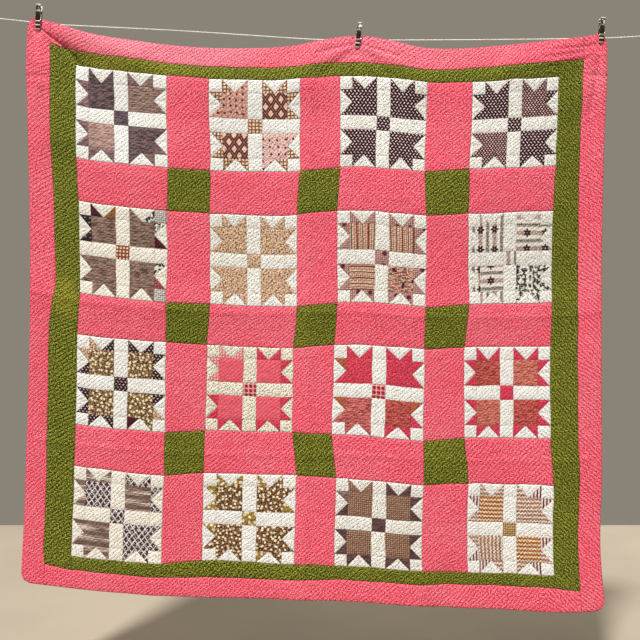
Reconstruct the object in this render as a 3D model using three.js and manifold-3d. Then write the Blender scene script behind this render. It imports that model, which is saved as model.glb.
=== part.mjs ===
// Bear paw quilt pegged on a clothes line: a quilted cloth, three spring pegs and the line.
// Millimetres, +Z up. X runs along the line, the patchwork faces -Y, and the origin is on the
// line's axis, over the middle of its length.
import * as THREE from 'three';
import { mergeVertices } from 'three/addons/utils/BufferGeometryUtils.js';
import Module from 'manifold-3d';

const wasm = await Module();
wasm.setup();

// Running gap between pieces that touch.
const GAP = 0.3;

// Cut sizes of the flat quilt. A block is claw, palm, bar, palm, claw both ways.
const CLAW = 38;
const PALM = 2 * CLAW;
const BAR = 42;
const SASH = 127;
const BLOCKS_A_SIDE = 4;
const SIDE_BORDER = { pink: 70, green: 80 };
const END_BORDER = { pink: 60, green: 42 };
const CLOTH_THICKNESS = 3;
const PUFF = 1.8;
const CORNER_ROUNDING = 8;

// How the cloth hangs. It stretches a little under its own weight.
const HANG_STRETCH = 1.01;
const PULL_DEPTH = 60;

// The side edges waist in and flare again, by distance down the cloth.
const SIDE_EDGES = [
  { down: 0, left: -882, right: 868 },
  { down: 120, left: -887, right: 868 },
  { down: 350, left: -882, right: 858 },
  { down: 700, left: -877, right: 853 },
  { down: 1000, left: -879, right: 852 },
  { down: 1270, left: -888, right: 853 },
  { down: 1480, left: -895, right: 848 },
  { down: 1665, left: -905, right: 863 },
];

// Height of each upright line of the cloth, at the top edge and as carried down to the hem.
const HANG_HEIGHTS = [
  { across: 0, top: 70, hem: 39 },
  { across: 150, top: 20, hem: 23 },
  { across: 290, top: -2, hem: 11 },
  { across: 530, top: -19, hem: -8 },
  { across: 760, top: -27, hem: -15 },
  { across: 1006, top: -17, hem: -18 },
  { across: 1220, top: -33, hem: -33 },
  { across: 1480, top: -25, hem: -48 },
  { across: 1640, top: -13, hem: -54 },
  { across: 1760, top: 8, hem: -48 },
];

// Where the top edge is drawn up by a peg, or slumps between two, over what is below it.
const EDGE_PULLS = [
  { name: 'left peg', across: 110, lift: 5, reach: 80 },
  { name: 'first swag', across: 520, lift: -8, reach: 170 },
  { name: 'middle peg', across: 1006, lift: 25, reach: 150 },
  { name: 'right peg', across: 1650, lift: 11, reach: 260 },
];

// Folds stand towards the viewer where forward is positive and fall away where it is negative.
const FOLDS = [
  { name: 'left swag roll', across: 120, down: 10, to_across: 330, to_down: 45, forward: 14, width: 48 },
  { name: 'left edge roll', across: 45, down: 130, to_across: 95, to_down: 330, forward: 9, width: 52 },
  { name: 'middle left roll', across: 890, down: 20, to_across: 830, to_down: 90, forward: 8, width: 55 },
  { name: 'middle right roll', across: 1125, down: 25, to_across: 1180, to_down: 100, forward: 8, width: 55 },
  { name: 'below middle peg', across: 1000, down: 130, to_across: 975, to_down: 300, forward: 6, width: 50 },
  { name: 'right swag roll', across: 1640, down: 25, to_across: 1470, to_down: 60, forward: 10, width: 45 },
  { name: 'right border fall', across: 1690, down: 260, to_across: 1670, to_down: 800, forward: -9, width: 70 },
  { name: 'first wave', across: 300, down: 420, to_across: 270, to_down: 1665, forward: 11, width: 150 },
  { name: 'second wave', across: 640, down: 380, to_across: 690, to_down: 1665, forward: -12, width: 160 },
  { name: 'third wave', across: 1080, down: 500, to_across: 1130, to_down: 1665, forward: 10, width: 170 },
  { name: 'fourth wave', across: 1480, down: 700, to_across: 1450, to_down: 1665, forward: -10, width: 150 },
  { name: 'storage fold across', across: 60, down: 800, to_across: 1700, to_down: 790, forward: 4, width: 60 },
  { name: 'storage fold down', across: 860, down: 150, to_across: 850, to_down: 1665, forward: 4, width: 60 },
];

// The line, taut between its end loops: route of its axis, by distance along and height.
const LINE_RADIUS = 2;
const LINE_SIDES = 8;
const LINE_STEPS = 80;
const LINE_ROUTE = [
  [-990, 65], [-966, 63], [-925, 59], [-885, 54.5], [-852, 51.3], [-785, 45.3], [-634, 37.5],
  [-483, 30], [-332, 21], [-181, 11], [-60, 3], [0, 0], [60, -1.4], [115, -1.6], [196, -1.5],
  [272, -1.3], [393, -0.9], [483, -0.3], [604, 0.8], [725, 2.2], [815, 3.8], [850, 4.5],
  [876, 5.3], [921, 7.3], [966, 10], [990, 11.5],
];
const LOOP_LENGTH = 52;
const LOOP_HALF_WIDTH = 11;
const LOOP_STEPS = 26;
const LOOP_POINTS = 12;
const KNOT = { length: 14, width: 11 };

// Pegs: where each grips the line, how far its jaws reach below the line, and its lean.
const PEGS = [
  { name: 'peg_left', x: -852, z: 51.3, across: 30, bite: 23, lean: 3 },
  { name: 'peg_middle', x: 115, z: -1.6, across: 1000, bite: 25, lean: 7 },
  { name: 'peg_right', x: 850, z: 4.5, across: 1742, bite: 16, lean: 4.7 },
];
const PEG_GRIP_DOWN = 12;
const GRIP_FLAT = 50;
const GRIP_FREE = 125;
const PEG_WIDTH = 13;
const PEG_LENGTH = 75;
const LEG_TIP = 3;
const LEG_THICKNESS = 8.5;
const HANDLE_SPREAD = 4.8;
const HANDLE_FLARE = 1;
const HANDLE_CHAMFER = 2;
const NOTCH_RADIUS = 3.2;
const NOTCH_STEPS = 8;
const COIL_HEIGHT = 43;
const COIL_RADIUS = 3;
const COIL_TURNS = 3;
const WIRE_RADIUS = 0.9;
const WIRE_SIDES = 6;
const WIRE_STEPS = 58;
const WIRE_BEND = 1.3;
const GROOVE_HEIGHT = 24;
const GROOVE_DEPTH = 1.3;
const GROOVE_HALF = 1.3;

const BLOCK = 2 * CLAW + 2 * PALM + BAR;
const WORKED = BLOCKS_A_SIDE * BLOCK + (BLOCKS_A_SIDE - 1) * SASH;
const CLOTH_WIDTH = WORKED + 2 * (SIDE_BORDER.pink + SIDE_BORDER.green);
const CLOTH_LENGTH = WORKED + 2 * (END_BORDER.pink + END_BORDER.green);
const CLOTH_BACK_Y = -(LINE_RADIUS + GAP);
const CLOTH_FRONT_Y = CLOTH_BACK_Y - CLOTH_THICKNESS;
const JAW_HALF_GAP = CLOTH_THICKNESS / 2 + GAP;
const PEG_MIDDLE_Y = (CLOTH_BACK_Y + CLOTH_FRONT_Y) / 2;

const material = (color, roughness, metalness = 0) =>
  new THREE.MeshStandardMaterial({ color, roughness, metalness });
const MATERIALS = {
  cloth: material(0xe85f78, 0.95),
  wood: material(0x4a3a32, 0.85),
  wire: material(0xb9b6ae, 0.45, 0.9),
  line: material(0xe6e2d6, 0.7),
};

// Smooth curve through one named column of a table, over another.
function along(rows, over, column, at) {
  const slope = (a, b) => (rows[b][column] - rows[a][column]) / (rows[b][over] - rows[a][over]);
  const last = rows.length - 1;
  const tangent = (i) => slope(Math.max(i - 1, 0), Math.min(i + 1, last));
  let i = 0;
  while (i < last - 1 && at > rows[i + 1][over]) i += 1;
  const span = rows[i + 1][over] - rows[i][over];
  const t = (at - rows[i][over]) / span;
  const rise = t * t * (3 - 2 * t);
  const leave = t * (1 - t) * (1 - t) * span * tangent(i);
  const arrive = t * t * (t - 1) * span * tangent(i + 1);
  return rows[i][column] * (1 - rise) + rows[i + 1][column] * rise + leave + arrive;
}

const bell = (distance, width) => Math.exp(-((distance / width) ** 2));

function distanceToFold(fold, across, down) {
  const run = new THREE.Vector2(fold.to_across - fold.across, fold.to_down - fold.down);
  const from = new THREE.Vector2(across - fold.across, down - fold.down);
  const share = THREE.MathUtils.clamp(from.dot(run) / run.lengthSq(), 0, 1);
  return from.addScaledVector(run, -share).length();
}

// The cloth lies flat where a peg grips it: 0 there, 1 where it is free.
function freedom(across, down) {
  const distances = PEGS.map((peg) => Math.hypot(across - peg.across, down - PEG_GRIP_DOWN));
  return THREE.MathUtils.smoothstep(Math.min(...distances), GRIP_FLAT, GRIP_FREE);
}

// Place of a point of the flat cloth, measured across and down it, raised off its back.
function hung(across, down, raised) {
  const left = along(SIDE_EDGES, 'down', 'left', down);
  const right = along(SIDE_EDGES, 'down', 'right', down);
  const top = along(HANG_HEIGHTS, 'across', 'top', across);
  const hem = along(HANG_HEIGHTS, 'across', 'hem', across);
  const pull = EDGE_PULLS.reduce((sum, p) => sum + p.lift * bell(across - p.across, p.reach), 0);
  const forward = FOLDS.reduce(
    (sum, fold) => sum + fold.forward * bell(distanceToFold(fold, across, down), fold.width), 0);
  return new THREE.Vector3(
    left + (right - left) * (across / CLOTH_WIDTH),
    CLOTH_BACK_Y - freedom(across, down) * forward - raised,
    THREE.MathUtils.lerp(top, hem, down / CLOTH_LENGTH) - HANG_STRETCH * down
      + pull * Math.exp(-down / PULL_DEPTH));
}

// Seam lines across or down the quilt: borders in strips, then blocks and sashes, then borders.
function seamLines(border, greenStrips) {
  const pink = [border.pink / 2, border.pink / 2];
  const green = Array(greenStrips).fill(border.green / greenStrips);
  const block = [CLAW, PALM, BAR, PALM, CLAW];
  const sash = [SASH / 2, SASH / 2];
  const worked = Array.from({ length: BLOCKS_A_SIDE }, (_, i) => (i ? [...sash, ...block] : block)).flat();
  const lines = [0];
  for (const size of [...pink, ...green, ...worked, ...green, ...pink]) lines.push(lines.at(-1) + size);
  return lines;
}

function meshFrom(points, faces) {
  const geometry = new THREE.BufferGeometry();
  geometry.setAttribute('position', new THREE.Float32BufferAttribute(points, 3));
  geometry.setIndex(faces);
  return geometry;
}

// The quilt: each patch stands up between its sewn seams on the front, and the back is smooth.
function quiltGeometry() {
  const columns = seamLines(SIDE_BORDER, 2);
  const rows = seamLines(END_BORDER, 1);
  const points = [];
  const faces = [];
  const place = (across, down, raised) => {
    points.push(...hung(across, down, raised).toArray());
    return points.length / 3 - 1;
  };
  const inset = (lines, i) => ({ 0: CORNER_ROUNDING, [lines.length - 1]: -CORNER_ROUNDING }[i] ?? 0);
  const layer = (raised) => rows.map((down, r) => columns.map((across, c) => {
    const corner = inset(rows, r) !== 0 && inset(columns, c) !== 0;
    return place(
      across + (corner ? inset(columns, c) : 0), down + (corner ? inset(rows, r) : 0), raised);
  }));
  const front = layer(CLOTH_THICKNESS);
  const back = layer(0);
  for (let r = 0; r < rows.length - 1; r += 1) {
    for (let c = 0; c < columns.length - 1; c += 1) {
      const across = (columns[c] + columns[c + 1]) / 2;
      const down = (rows[r] + rows[r + 1]) / 2;
      const puff = place(across, down, CLOTH_THICKNESS + PUFF * freedom(across, down));
      const ring = [front[r + 1][c], front[r + 1][c + 1], front[r][c + 1], front[r][c]];
      ring.forEach((corner, i) => faces.push(corner, ring[(i + 1) % ring.length], puff));
      faces.push(back[r + 1][c], back[r][c], back[r][c + 1]);
      faces.push(back[r + 1][c], back[r][c + 1], back[r + 1][c + 1]);
    }
  }
  const rim = (sheet) => [
    ...sheet.at(-1).slice(0, -1),
    ...sheet.slice(1).reverse().map((row) => row.at(-1)),
    ...sheet[0].slice(1).reverse(),
    ...sheet.slice(0, -1).map((row) => row[0]),
  ];
  const frontRim = rim(front);
  const backRim = rim(back);
  frontRim.forEach((here, i) => {
    const n = (i + 1) % frontRim.length;
    faces.push(frontRim[n], here, backRim[i], frontRim[n], backRim[i], backRim[n]);
  });
  return meshFrom(points, faces);
}

function roundSection(radius, sides) {
  const corners = Array.from({ length: sides }, (_, i) => {
    const turn = (2 * Math.PI * i) / sides;
    return new THREE.Vector2(radius * Math.cos(turn), radius * Math.sin(turn));
  });
  return new THREE.Shape(corners);
}

function tubeGeometry(path, radius, sides, steps) {
  return new THREE.ExtrudeGeometry(roundSection(radius, sides), { steps, extrudePath: path });
}

function lineGeometry() {
  const route = LINE_ROUTE.map(([x, z]) => new THREE.Vector3(x, 0, z));
  return tubeGeometry(new THREE.CatmullRomCurve3(route), LINE_RADIUS, LINE_SIDES, LINE_STEPS);
}

function solidOf(geometry) {
  const bare = geometry.clone();
  bare.deleteAttribute('normal');
  bare.deleteAttribute('uv');
  const merged = mergeVertices(bare);
  return new wasm.Manifold(new wasm.Mesh({
    numProp: 3,
    vertProperties: merged.attributes.position.array,
    triVerts: merged.index.array,
  }));
}

// End of the line: a knot, and the loop that goes over a hook. X points away from the line.
function loopGeometry() {
  const knot = new THREE.SphereGeometry(0.5, 12, 8);
  knot.rotateZ(Math.PI / 2);
  knot.scale(KNOT.length, KNOT.width, KNOT.width);
  knot.translate(GAP + KNOT.length / 2, 0, 0);
  const root = KNOT.length * 0.7;
  const strand = LINE_RADIUS + GAP;
  const turn = Array.from({ length: LOOP_POINTS + 1 }, (_, i) => {
    const side = 1 - (2 * i) / LOOP_POINTS;
    return new THREE.Vector3(
      root + (LOOP_LENGTH - root) * Math.cos((Math.PI / 2) * side), 0,
      LOOP_HALF_WIDTH * Math.sin(Math.PI * side) + strand * side);
  });
  const loop = tubeGeometry(new THREE.CatmullRomCurve3(turn), LINE_RADIUS, LINE_SIDES, LOOP_STEPS);
  const joined = solidOf(knot).add(solidOf(loop)).getMesh();
  return meshFrom([...joined.vertProperties], [...joined.triVerts]);
}

// Side outline of a peg's leg: distance from the middle of the peg, and height above its tip.
function legOutline(bite) {
  const inner = JAW_HALF_GAP;
  const outer = inner + LEG_THICKNESS;
  const lineX = inner + LINE_RADIUS;
  const coilNotch = COIL_RADIUS + WIRE_RADIUS + GAP;
  const mouth = Math.asin(inner / coilNotch);
  const outline = new THREE.Shape();
  outline.moveTo(inner, 0);
  outline.lineTo(inner, bite - NOTCH_RADIUS);
  outline.lineTo(lineX, bite - NOTCH_RADIUS);
  outline.absarc(lineX, bite, NOTCH_RADIUS, -Math.PI / 2, Math.PI / 2, false);
  outline.lineTo(inner, bite + NOTCH_RADIUS);
  outline.absarc(0, COIL_HEIGHT, coilNotch, mouth - Math.PI / 2, Math.PI / 2 - mouth, false);
  outline.lineTo(inner + HANDLE_SPREAD, PEG_LENGTH);
  outline.lineTo(outer, PEG_LENGTH);
  outline.lineTo(outer + HANDLE_FLARE, PEG_LENGTH - HANDLE_CHAMFER);
  outline.lineTo(outer, GROOVE_HEIGHT + GROOVE_HALF);
  outline.lineTo(outer - GROOVE_DEPTH, GROOVE_HEIGHT + GROOVE_HALF);
  outline.lineTo(outer - GROOVE_DEPTH, GROOVE_HEIGHT - GROOVE_HALF);
  outline.lineTo(outer, GROOVE_HEIGHT - GROOVE_HALF);
  outline.lineTo(inner + LEG_TIP, 0);
  return outline;
}

function legGeometry(bite) {
  const leg = new THREE.ExtrudeGeometry(
    legOutline(bite), { depth: PEG_WIDTH, bevelEnabled: false, curveSegments: NOTCH_STEPS });
  leg.translate(0, -bite, -PEG_WIDTH / 2);
  const sideways = new THREE.Matrix4().makeBasis(
    new THREE.Vector3(0, 1, 0), new THREE.Vector3(0, 0, 1), new THREE.Vector3(1, 0, 0));
  return leg.applyMatrix4(sideways);
}

// One wire: across the front leg's groove, up its side, round the coil, down and across the back.
function springGeometry(bite) {
  const arm = PEG_WIDTH / 2 + GAP + WIRE_RADIUS;
  const faceY = JAW_HALF_GAP + LEG_THICKNESS - GROOVE_DEPTH + GAP + WIRE_RADIUS;
  const drop = COIL_HEIGHT - GROOVE_HEIGHT;
  const reach = Math.hypot(faceY, drop);
  const lead = Math.atan2(drop, faceY) + Math.PI - Math.acos(COIL_RADIUS / reach);
  const sweep = 2 * Math.PI * COIL_TURNS + 2 * lead - Math.PI;
  const coilPoints = 10 * COIL_TURNS;
  const toCoil = new THREE.Vector3(
    0, COIL_RADIUS * Math.cos(lead) + faceY, drop + COIL_RADIUS * Math.sin(lead));
  const armLength = toCoil.length();
  const onArm = (x, travel) =>
    new THREE.Vector3(x, -faceY, GROOVE_HEIGHT).addScaledVector(toCoil, travel / armLength);
  const bend = [0, Math.PI / 4, Math.PI / 2].map((turn) =>
    onArm(arm - WIRE_BEND * (1 - Math.sin(turn)), WIRE_BEND * (1 - Math.cos(turn))));
  const half = [onArm(-PEG_WIDTH / 2, 0), onArm(0, 0), ...bend, onArm(arm, armLength / 2)];
  const coil = Array.from({ length: coilPoints + 1 }, (_, i) => {
    const turn = lead - (sweep * i) / coilPoints;
    return new THREE.Vector3(
      arm * (1 - (2 * i) / coilPoints), COIL_RADIUS * Math.cos(turn),
      COIL_HEIGHT + COIL_RADIUS * Math.sin(turn));
  });
  const otherHalf = half.map((p) => new THREE.Vector3(-p.x, -p.y, p.z)).reverse();
  const path = new THREE.CatmullRomCurve3([...half, ...coil, ...otherHalf]);
  const wire = tubeGeometry(path, WIRE_RADIUS, WIRE_SIDES, WIRE_STEPS);
  return wire.translate(0, 0, -bite);
}

function pegGroup(peg) {
  const group = new THREE.Group();
  group.position.set(peg.x, PEG_MIDDLE_Y, peg.z);
  group.rotation.y = THREE.MathUtils.degToRad(peg.lean);
  const back = new THREE.Mesh(legGeometry(peg.bite), MATERIALS.wood);
  back.name = `${peg.name}_back`;
  const front = new THREE.Mesh(legGeometry(peg.bite), MATERIALS.wood);
  front.name = `${peg.name}_front`;
  front.rotation.z = Math.PI;
  const spring = new THREE.Mesh(springGeometry(peg.bite), MATERIALS.wire);
  spring.name = `${peg.name}_spring`;
  group.add(front, back, spring);
  return group;
}

function lineEnd(name, end, before) {
  const loop = new THREE.Mesh(loopGeometry(), MATERIALS.line);
  loop.name = name;
  loop.position.set(end[0], 0, end[1]);
  loop.rotation.y = -Math.atan2(end[1] - before[1], end[0] - before[0]);
  return loop;
}

const quilt = new THREE.Mesh(quiltGeometry(), MATERIALS.cloth);
quilt.name = 'quilt';
const line = new THREE.Mesh(lineGeometry(), MATERIALS.line);
line.name = 'clothes_line';

const part = new THREE.Group();
part.add(quilt, line);
part.add(lineEnd('line_loop_left', LINE_ROUTE[0], LINE_ROUTE[1]));
part.add(lineEnd('line_loop_right', LINE_ROUTE.at(-1), LINE_ROUTE.at(-2)));
PEGS.forEach((peg) => part.add(pegGroup(peg)));

export default part;
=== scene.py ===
"""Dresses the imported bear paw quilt: patchwork, backing, weathered pegs and a twisted line.

The cloth is worked out flat, in millimetres across and down the quilt, and then hung. The fan
quilting, seams and puckers are raised on it, and the prints are drawn on its flat pattern.
"""
import math

import bmesh
import bpy
import numpy as np
from bpy.props import FloatProperty, FloatVectorProperty, PointerProperty
from mathutils import Matrix, Vector


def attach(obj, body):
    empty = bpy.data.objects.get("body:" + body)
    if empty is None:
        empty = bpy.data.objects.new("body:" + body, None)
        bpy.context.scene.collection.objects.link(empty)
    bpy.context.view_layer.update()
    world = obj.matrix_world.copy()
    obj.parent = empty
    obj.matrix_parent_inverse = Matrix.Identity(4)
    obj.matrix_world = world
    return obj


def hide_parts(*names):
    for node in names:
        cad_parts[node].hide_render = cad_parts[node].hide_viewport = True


bl_info = {
    "name": "Bear Paw Quilt on a Clothes Line",
    "version": (1, 0, 0),
    "blender": (4, 5, 0),
    "location": "View3D > Sidebar > Quilt",
    "description": "Patchwork quilt, backing, wooden pegs and clothes line on their packed frame",
    "category": "Object",
}

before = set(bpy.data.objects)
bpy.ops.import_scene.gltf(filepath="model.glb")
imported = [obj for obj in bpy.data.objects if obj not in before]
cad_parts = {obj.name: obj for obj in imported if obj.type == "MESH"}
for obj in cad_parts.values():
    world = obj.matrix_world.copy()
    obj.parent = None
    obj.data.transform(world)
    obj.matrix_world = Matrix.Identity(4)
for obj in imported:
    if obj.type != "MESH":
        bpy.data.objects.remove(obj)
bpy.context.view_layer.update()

BODY = "root"
MM = 0.001

# Cut sizes of the flat quilt. A block is claw, palm, bar, palm, claw both ways.
CLAW = 38
PALM = 2 * CLAW
BAR = 42
BLOCK = 2 * CLAW + 2 * PALM + BAR
SASH = 127
BLOCKS_A_SIDE = 4
WORKED = BLOCKS_A_SIDE * BLOCK + (BLOCKS_A_SIDE - 1) * SASH
SIDE_BORDER = {"pink": 70, "green": 80}
END_BORDER = {"pink": 60, "green": 42}
CLOTH_WIDTH = WORKED + 2 * (SIDE_BORDER["pink"] + SIDE_BORDER["green"])
CLOTH_LENGTH = WORKED + 2 * (END_BORDER["pink"] + END_BORDER["green"])
CLOTH_THICKNESS = 3
BACKING_THICKNESS = 0.6
CORNER_ROUNDING = 8
CORNER_REACH = 26

# How the cloth hangs, as in the solid.
HANG_STRETCH = 1.01
PULL_DEPTH = 60
SIDE_EDGES = (
    dict(down=0, left=-882, right=868),
    dict(down=120, left=-887, right=868),
    dict(down=350, left=-882, right=858),
    dict(down=700, left=-877, right=853),
    dict(down=1000, left=-879, right=852),
    dict(down=1270, left=-888, right=853),
    dict(down=1480, left=-895, right=848),
    dict(down=1665, left=-905, right=863),
)
HANG_HEIGHTS = (
    dict(across=0, top=70, hem=39),
    dict(across=150, top=20, hem=23),
    dict(across=290, top=-2, hem=11),
    dict(across=530, top=-19, hem=-8),
    dict(across=760, top=-27, hem=-15),
    dict(across=1006, top=-17, hem=-18),
    dict(across=1220, top=-33, hem=-33),
    dict(across=1480, top=-25, hem=-48),
    dict(across=1640, top=-13, hem=-54),
    dict(across=1760, top=8, hem=-48),
)
EDGE_PULLS = (
    dict(name="left peg", across=110, lift=5, reach=80),
    dict(name="first swag", across=520, lift=-8, reach=170),
    dict(name="middle peg", across=1006, lift=25, reach=150),
    dict(name="right peg", across=1650, lift=11, reach=260),
)


def fold(name, start, end, forward, width):
    """One fold from start to end on the flat cloth, towards the viewer where forward is positive."""
    return dict(name=name, start=start, end=end, forward=forward, width=width)


FOLDS = (
    fold("left swag roll", (120, 10), (330, 45), 14, 48),
    fold("left edge roll", (45, 130), (95, 330), 9, 52),
    fold("middle left roll", (890, 20), (830, 90), 8, 55),
    fold("middle right roll", (1125, 25), (1180, 100), 8, 55),
    fold("below middle peg", (1000, 130), (975, 300), 6, 50),
    fold("right swag roll", (1640, 25), (1470, 60), 10, 45),
    fold("right border fall", (1690, 260), (1670, 800), -9, 70),
    fold("first wave", (300, 420), (270, 1665), 11, 150),
    fold("second wave", (640, 380), (690, 1665), -12, 160),
    fold("third wave", (1080, 500), (1130, 1665), 10, 170),
    fold("fourth wave", (1480, 700), (1450, 1665), -10, 150),
    fold("storage fold across", (60, 800), (1700, 790), 4, 60),
    fold("storage fold down", (860, 150), (850, 1665), 4, 60),
)

# Finer creases, which only the dressed cloth has.
CREASES = (
    fold("left peg crease", (40, 28), (116, 58), -5, 4),
    fold("left peg crease end", (118, 60), (166, 98), -4, 10),
    fold("left peg crease fade", (160, 94), (204, 170), -3, 26),
    fold("left peg ridge", (66, 16), (200, 60), 1.5, 12),
    fold("left peg pucker left", (27, 46), (16, 92), -2.4, 4),
    fold("left peg pucker down", (31, 48), (30, 100), -2.2, 4),
    fold("left peg pucker right", (36, 46), (62, 106), -2.4, 4),
    fold("left corner lip", (3, 3), (17, 1), 4, 5),
    fold("left edge crease", (10, 62), (12, 150), -3, 6),
    fold("left edge ridge", (30, 60), (48, 190), 4, 14),
    fold("lean of first swag", (260, 112), (900, 112), 9, 80),
    fold("lean of second swag", (1130, 112), (1560, 112), 6, 80),
    fold("fall below the lean", (200, 330), (1560, 330), 8, 220),
    fold("middle crease left", (975, 42), (900, 92), -2.4, 11),
    fold("middle ridge left", (968, 26), (880, 62), 1.8, 12),
    fold("middle crease down", (1001, 52), (990, 150), -2.6, 11),
    fold("middle pucker left", (986, 20), (880, 30), -2.4, 4.5),
    fold("middle pucker right", (1016, 20), (1130, 36), -2.4, 4.5),
    fold("middle crease right", (1028, 42), (1105, 92), -2.4, 11),
    fold("middle ridge right", (1034, 26), (1130, 58), 1.8, 12),
    fold("right crease upper", (1704, 38), (1560, 44), -1.6, 7),
    fold("right crease lower", (1706, 56), (1540, 74), -1.1, 8),
    fold("right pucker", (1722, 26), (1600, 24), -2.2, 5),
    fold("right ridge", (1700, 47), (1580, 58), 1.4, 8),
    fold("right edge crease", (1738, 62), (1716, 210), -3, 10),
    fold("border crease left", (4, 178), (66, 160), -2, 8),
    fold("border crease right", (1700, 104), (1757, 118), -2, 8),
    fold("storage ridge across", (0, 806), (1761, 796), 1.2, 9),
    fold("storage ridge down", (862, 110), (854, 1660), 2, 9),
    fold("quarter ridge across", (40, 1236), (1715, 1222), 1.2, 10),
    fold("hem ripple left", (380, 1590), (395, 1665), 5, 40),
    fold("hem ripple right", (1290, 1580), (1270, 1665), -5, 45),
)

# The line's axis, by distance along and height, and the loops at its ends.
LINE_ROUTE = (
    (-990, 65), (-966, 63), (-925, 59), (-885, 54.5), (-852, 51.3), (-785, 45.3), (-634, 37.5),
    (-483, 30), (-332, 21), (-181, 11), (-60, 3), (0, 0), (60, -1.4), (115, -1.6), (196, -1.5),
    (272, -1.3), (393, -0.9), (483, -0.3), (604, 0.8), (725, 2.2), (815, 3.8), (850, 4.5),
    (876, 5.3), (921, 7.3), (966, 10), (990, 11.5),
)
LINE_RADIUS = 2
STRANDS = 3
STRAND_SIDES = 7
STRAND_OFFSET = 0.52
GAP = 0.3
LOOP_LENGTH = 52
LOOP_HALF_WIDTH = 11
KNOT_LENGTH = 14
KNOT_WIDTH = 11
CLOTH_BACK_Y = -(LINE_RADIUS + GAP)

# Pegs: where each grips the line, how far its jaws reach below the line, and its lean.
PEGS = (
    dict(name="peg_left", x=-852, z=51.3, across=30, bite=23, lean=3),
    dict(name="peg_middle", x=115, z=-1.6, across=1000, bite=25, lean=7),
    dict(name="peg_right", x=850, z=4.5, across=1742, bite=16, lean=4.7),
)
PEG_MIDDLE_Y = CLOTH_BACK_Y - CLOTH_THICKNESS / 2
PEG_WIDTH = 13
PEG_LENGTH = 75
LEG_THICKNESS = 8.5
COIL_HEIGHT = 43
COIL_RADIUS = 3
COIL_TURNS = 3
WIRE_RADIUS = 0.9
WIRE_BEND = 1.3
GROOVE_HEIGHT = 24
GROOVE_DEPTH = 1.3
# Heights on the legs of two pale bands painted as highlight, where light catches the groove and the spring
# wire.
HIGHLIGHT_BANDS = (13, 23)
PEG_GRIP_DOWN = 36
GRIP_FLAT = 9
GRIP_FREE = 18

# Mesh cells of the cloth, and how its edges are finished.
STRIP_CELL = 2.7
CLAW_CELLS = 12
BAR_CELLS = 13
BACKING_CELL = 14
BACKING_FINE_CELL = 6
BACKING_FINE_DEPTH = 190
SEAM_TUCK = ((0, 2.2),)
TURNED_HEM = ((0.8, 0.5), (1.2, 1.5), (0.8, 2.5), (-0.6, 3.0), (-5, 3.2), (-9, 3.2), (-9.5, 2.6))

# Relief of the sewn cloth.
PUFF_REACH = 6
PUCKER_HEIGHT = 0.6
PUCKER_SIZE = 13
PUCKER_BUMP = 1.0
PUCKER_GRAIN = 3.6
MESH_RIDGE_SHARE = 0.5
RIDGE_MIDDLE = 0.6
LOWEST_RELIEF = -0.3
THREAD_PITCH = 0.9
THREAD_HEIGHT = 0.05
PRINT_RELIEF_SHARE = 0.45
RUBBED_SHARE = 0.38
FAN_RADIUS = 700
FAN_NEAR = 0.5 * FAN_RADIUS
FAN_STEP = 0.25 * FAN_RADIUS
FAN_ROW = 0.2 * FAN_RADIUS
FAN_ROWS_DEEP = 5
FAN_TURN = 1585
STITCH_LENGTH = 7
STITCH_SHARE = 0.66
STITCH_LINE_SHARE = 0.28
NOISE_CELLS = 61

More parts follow.
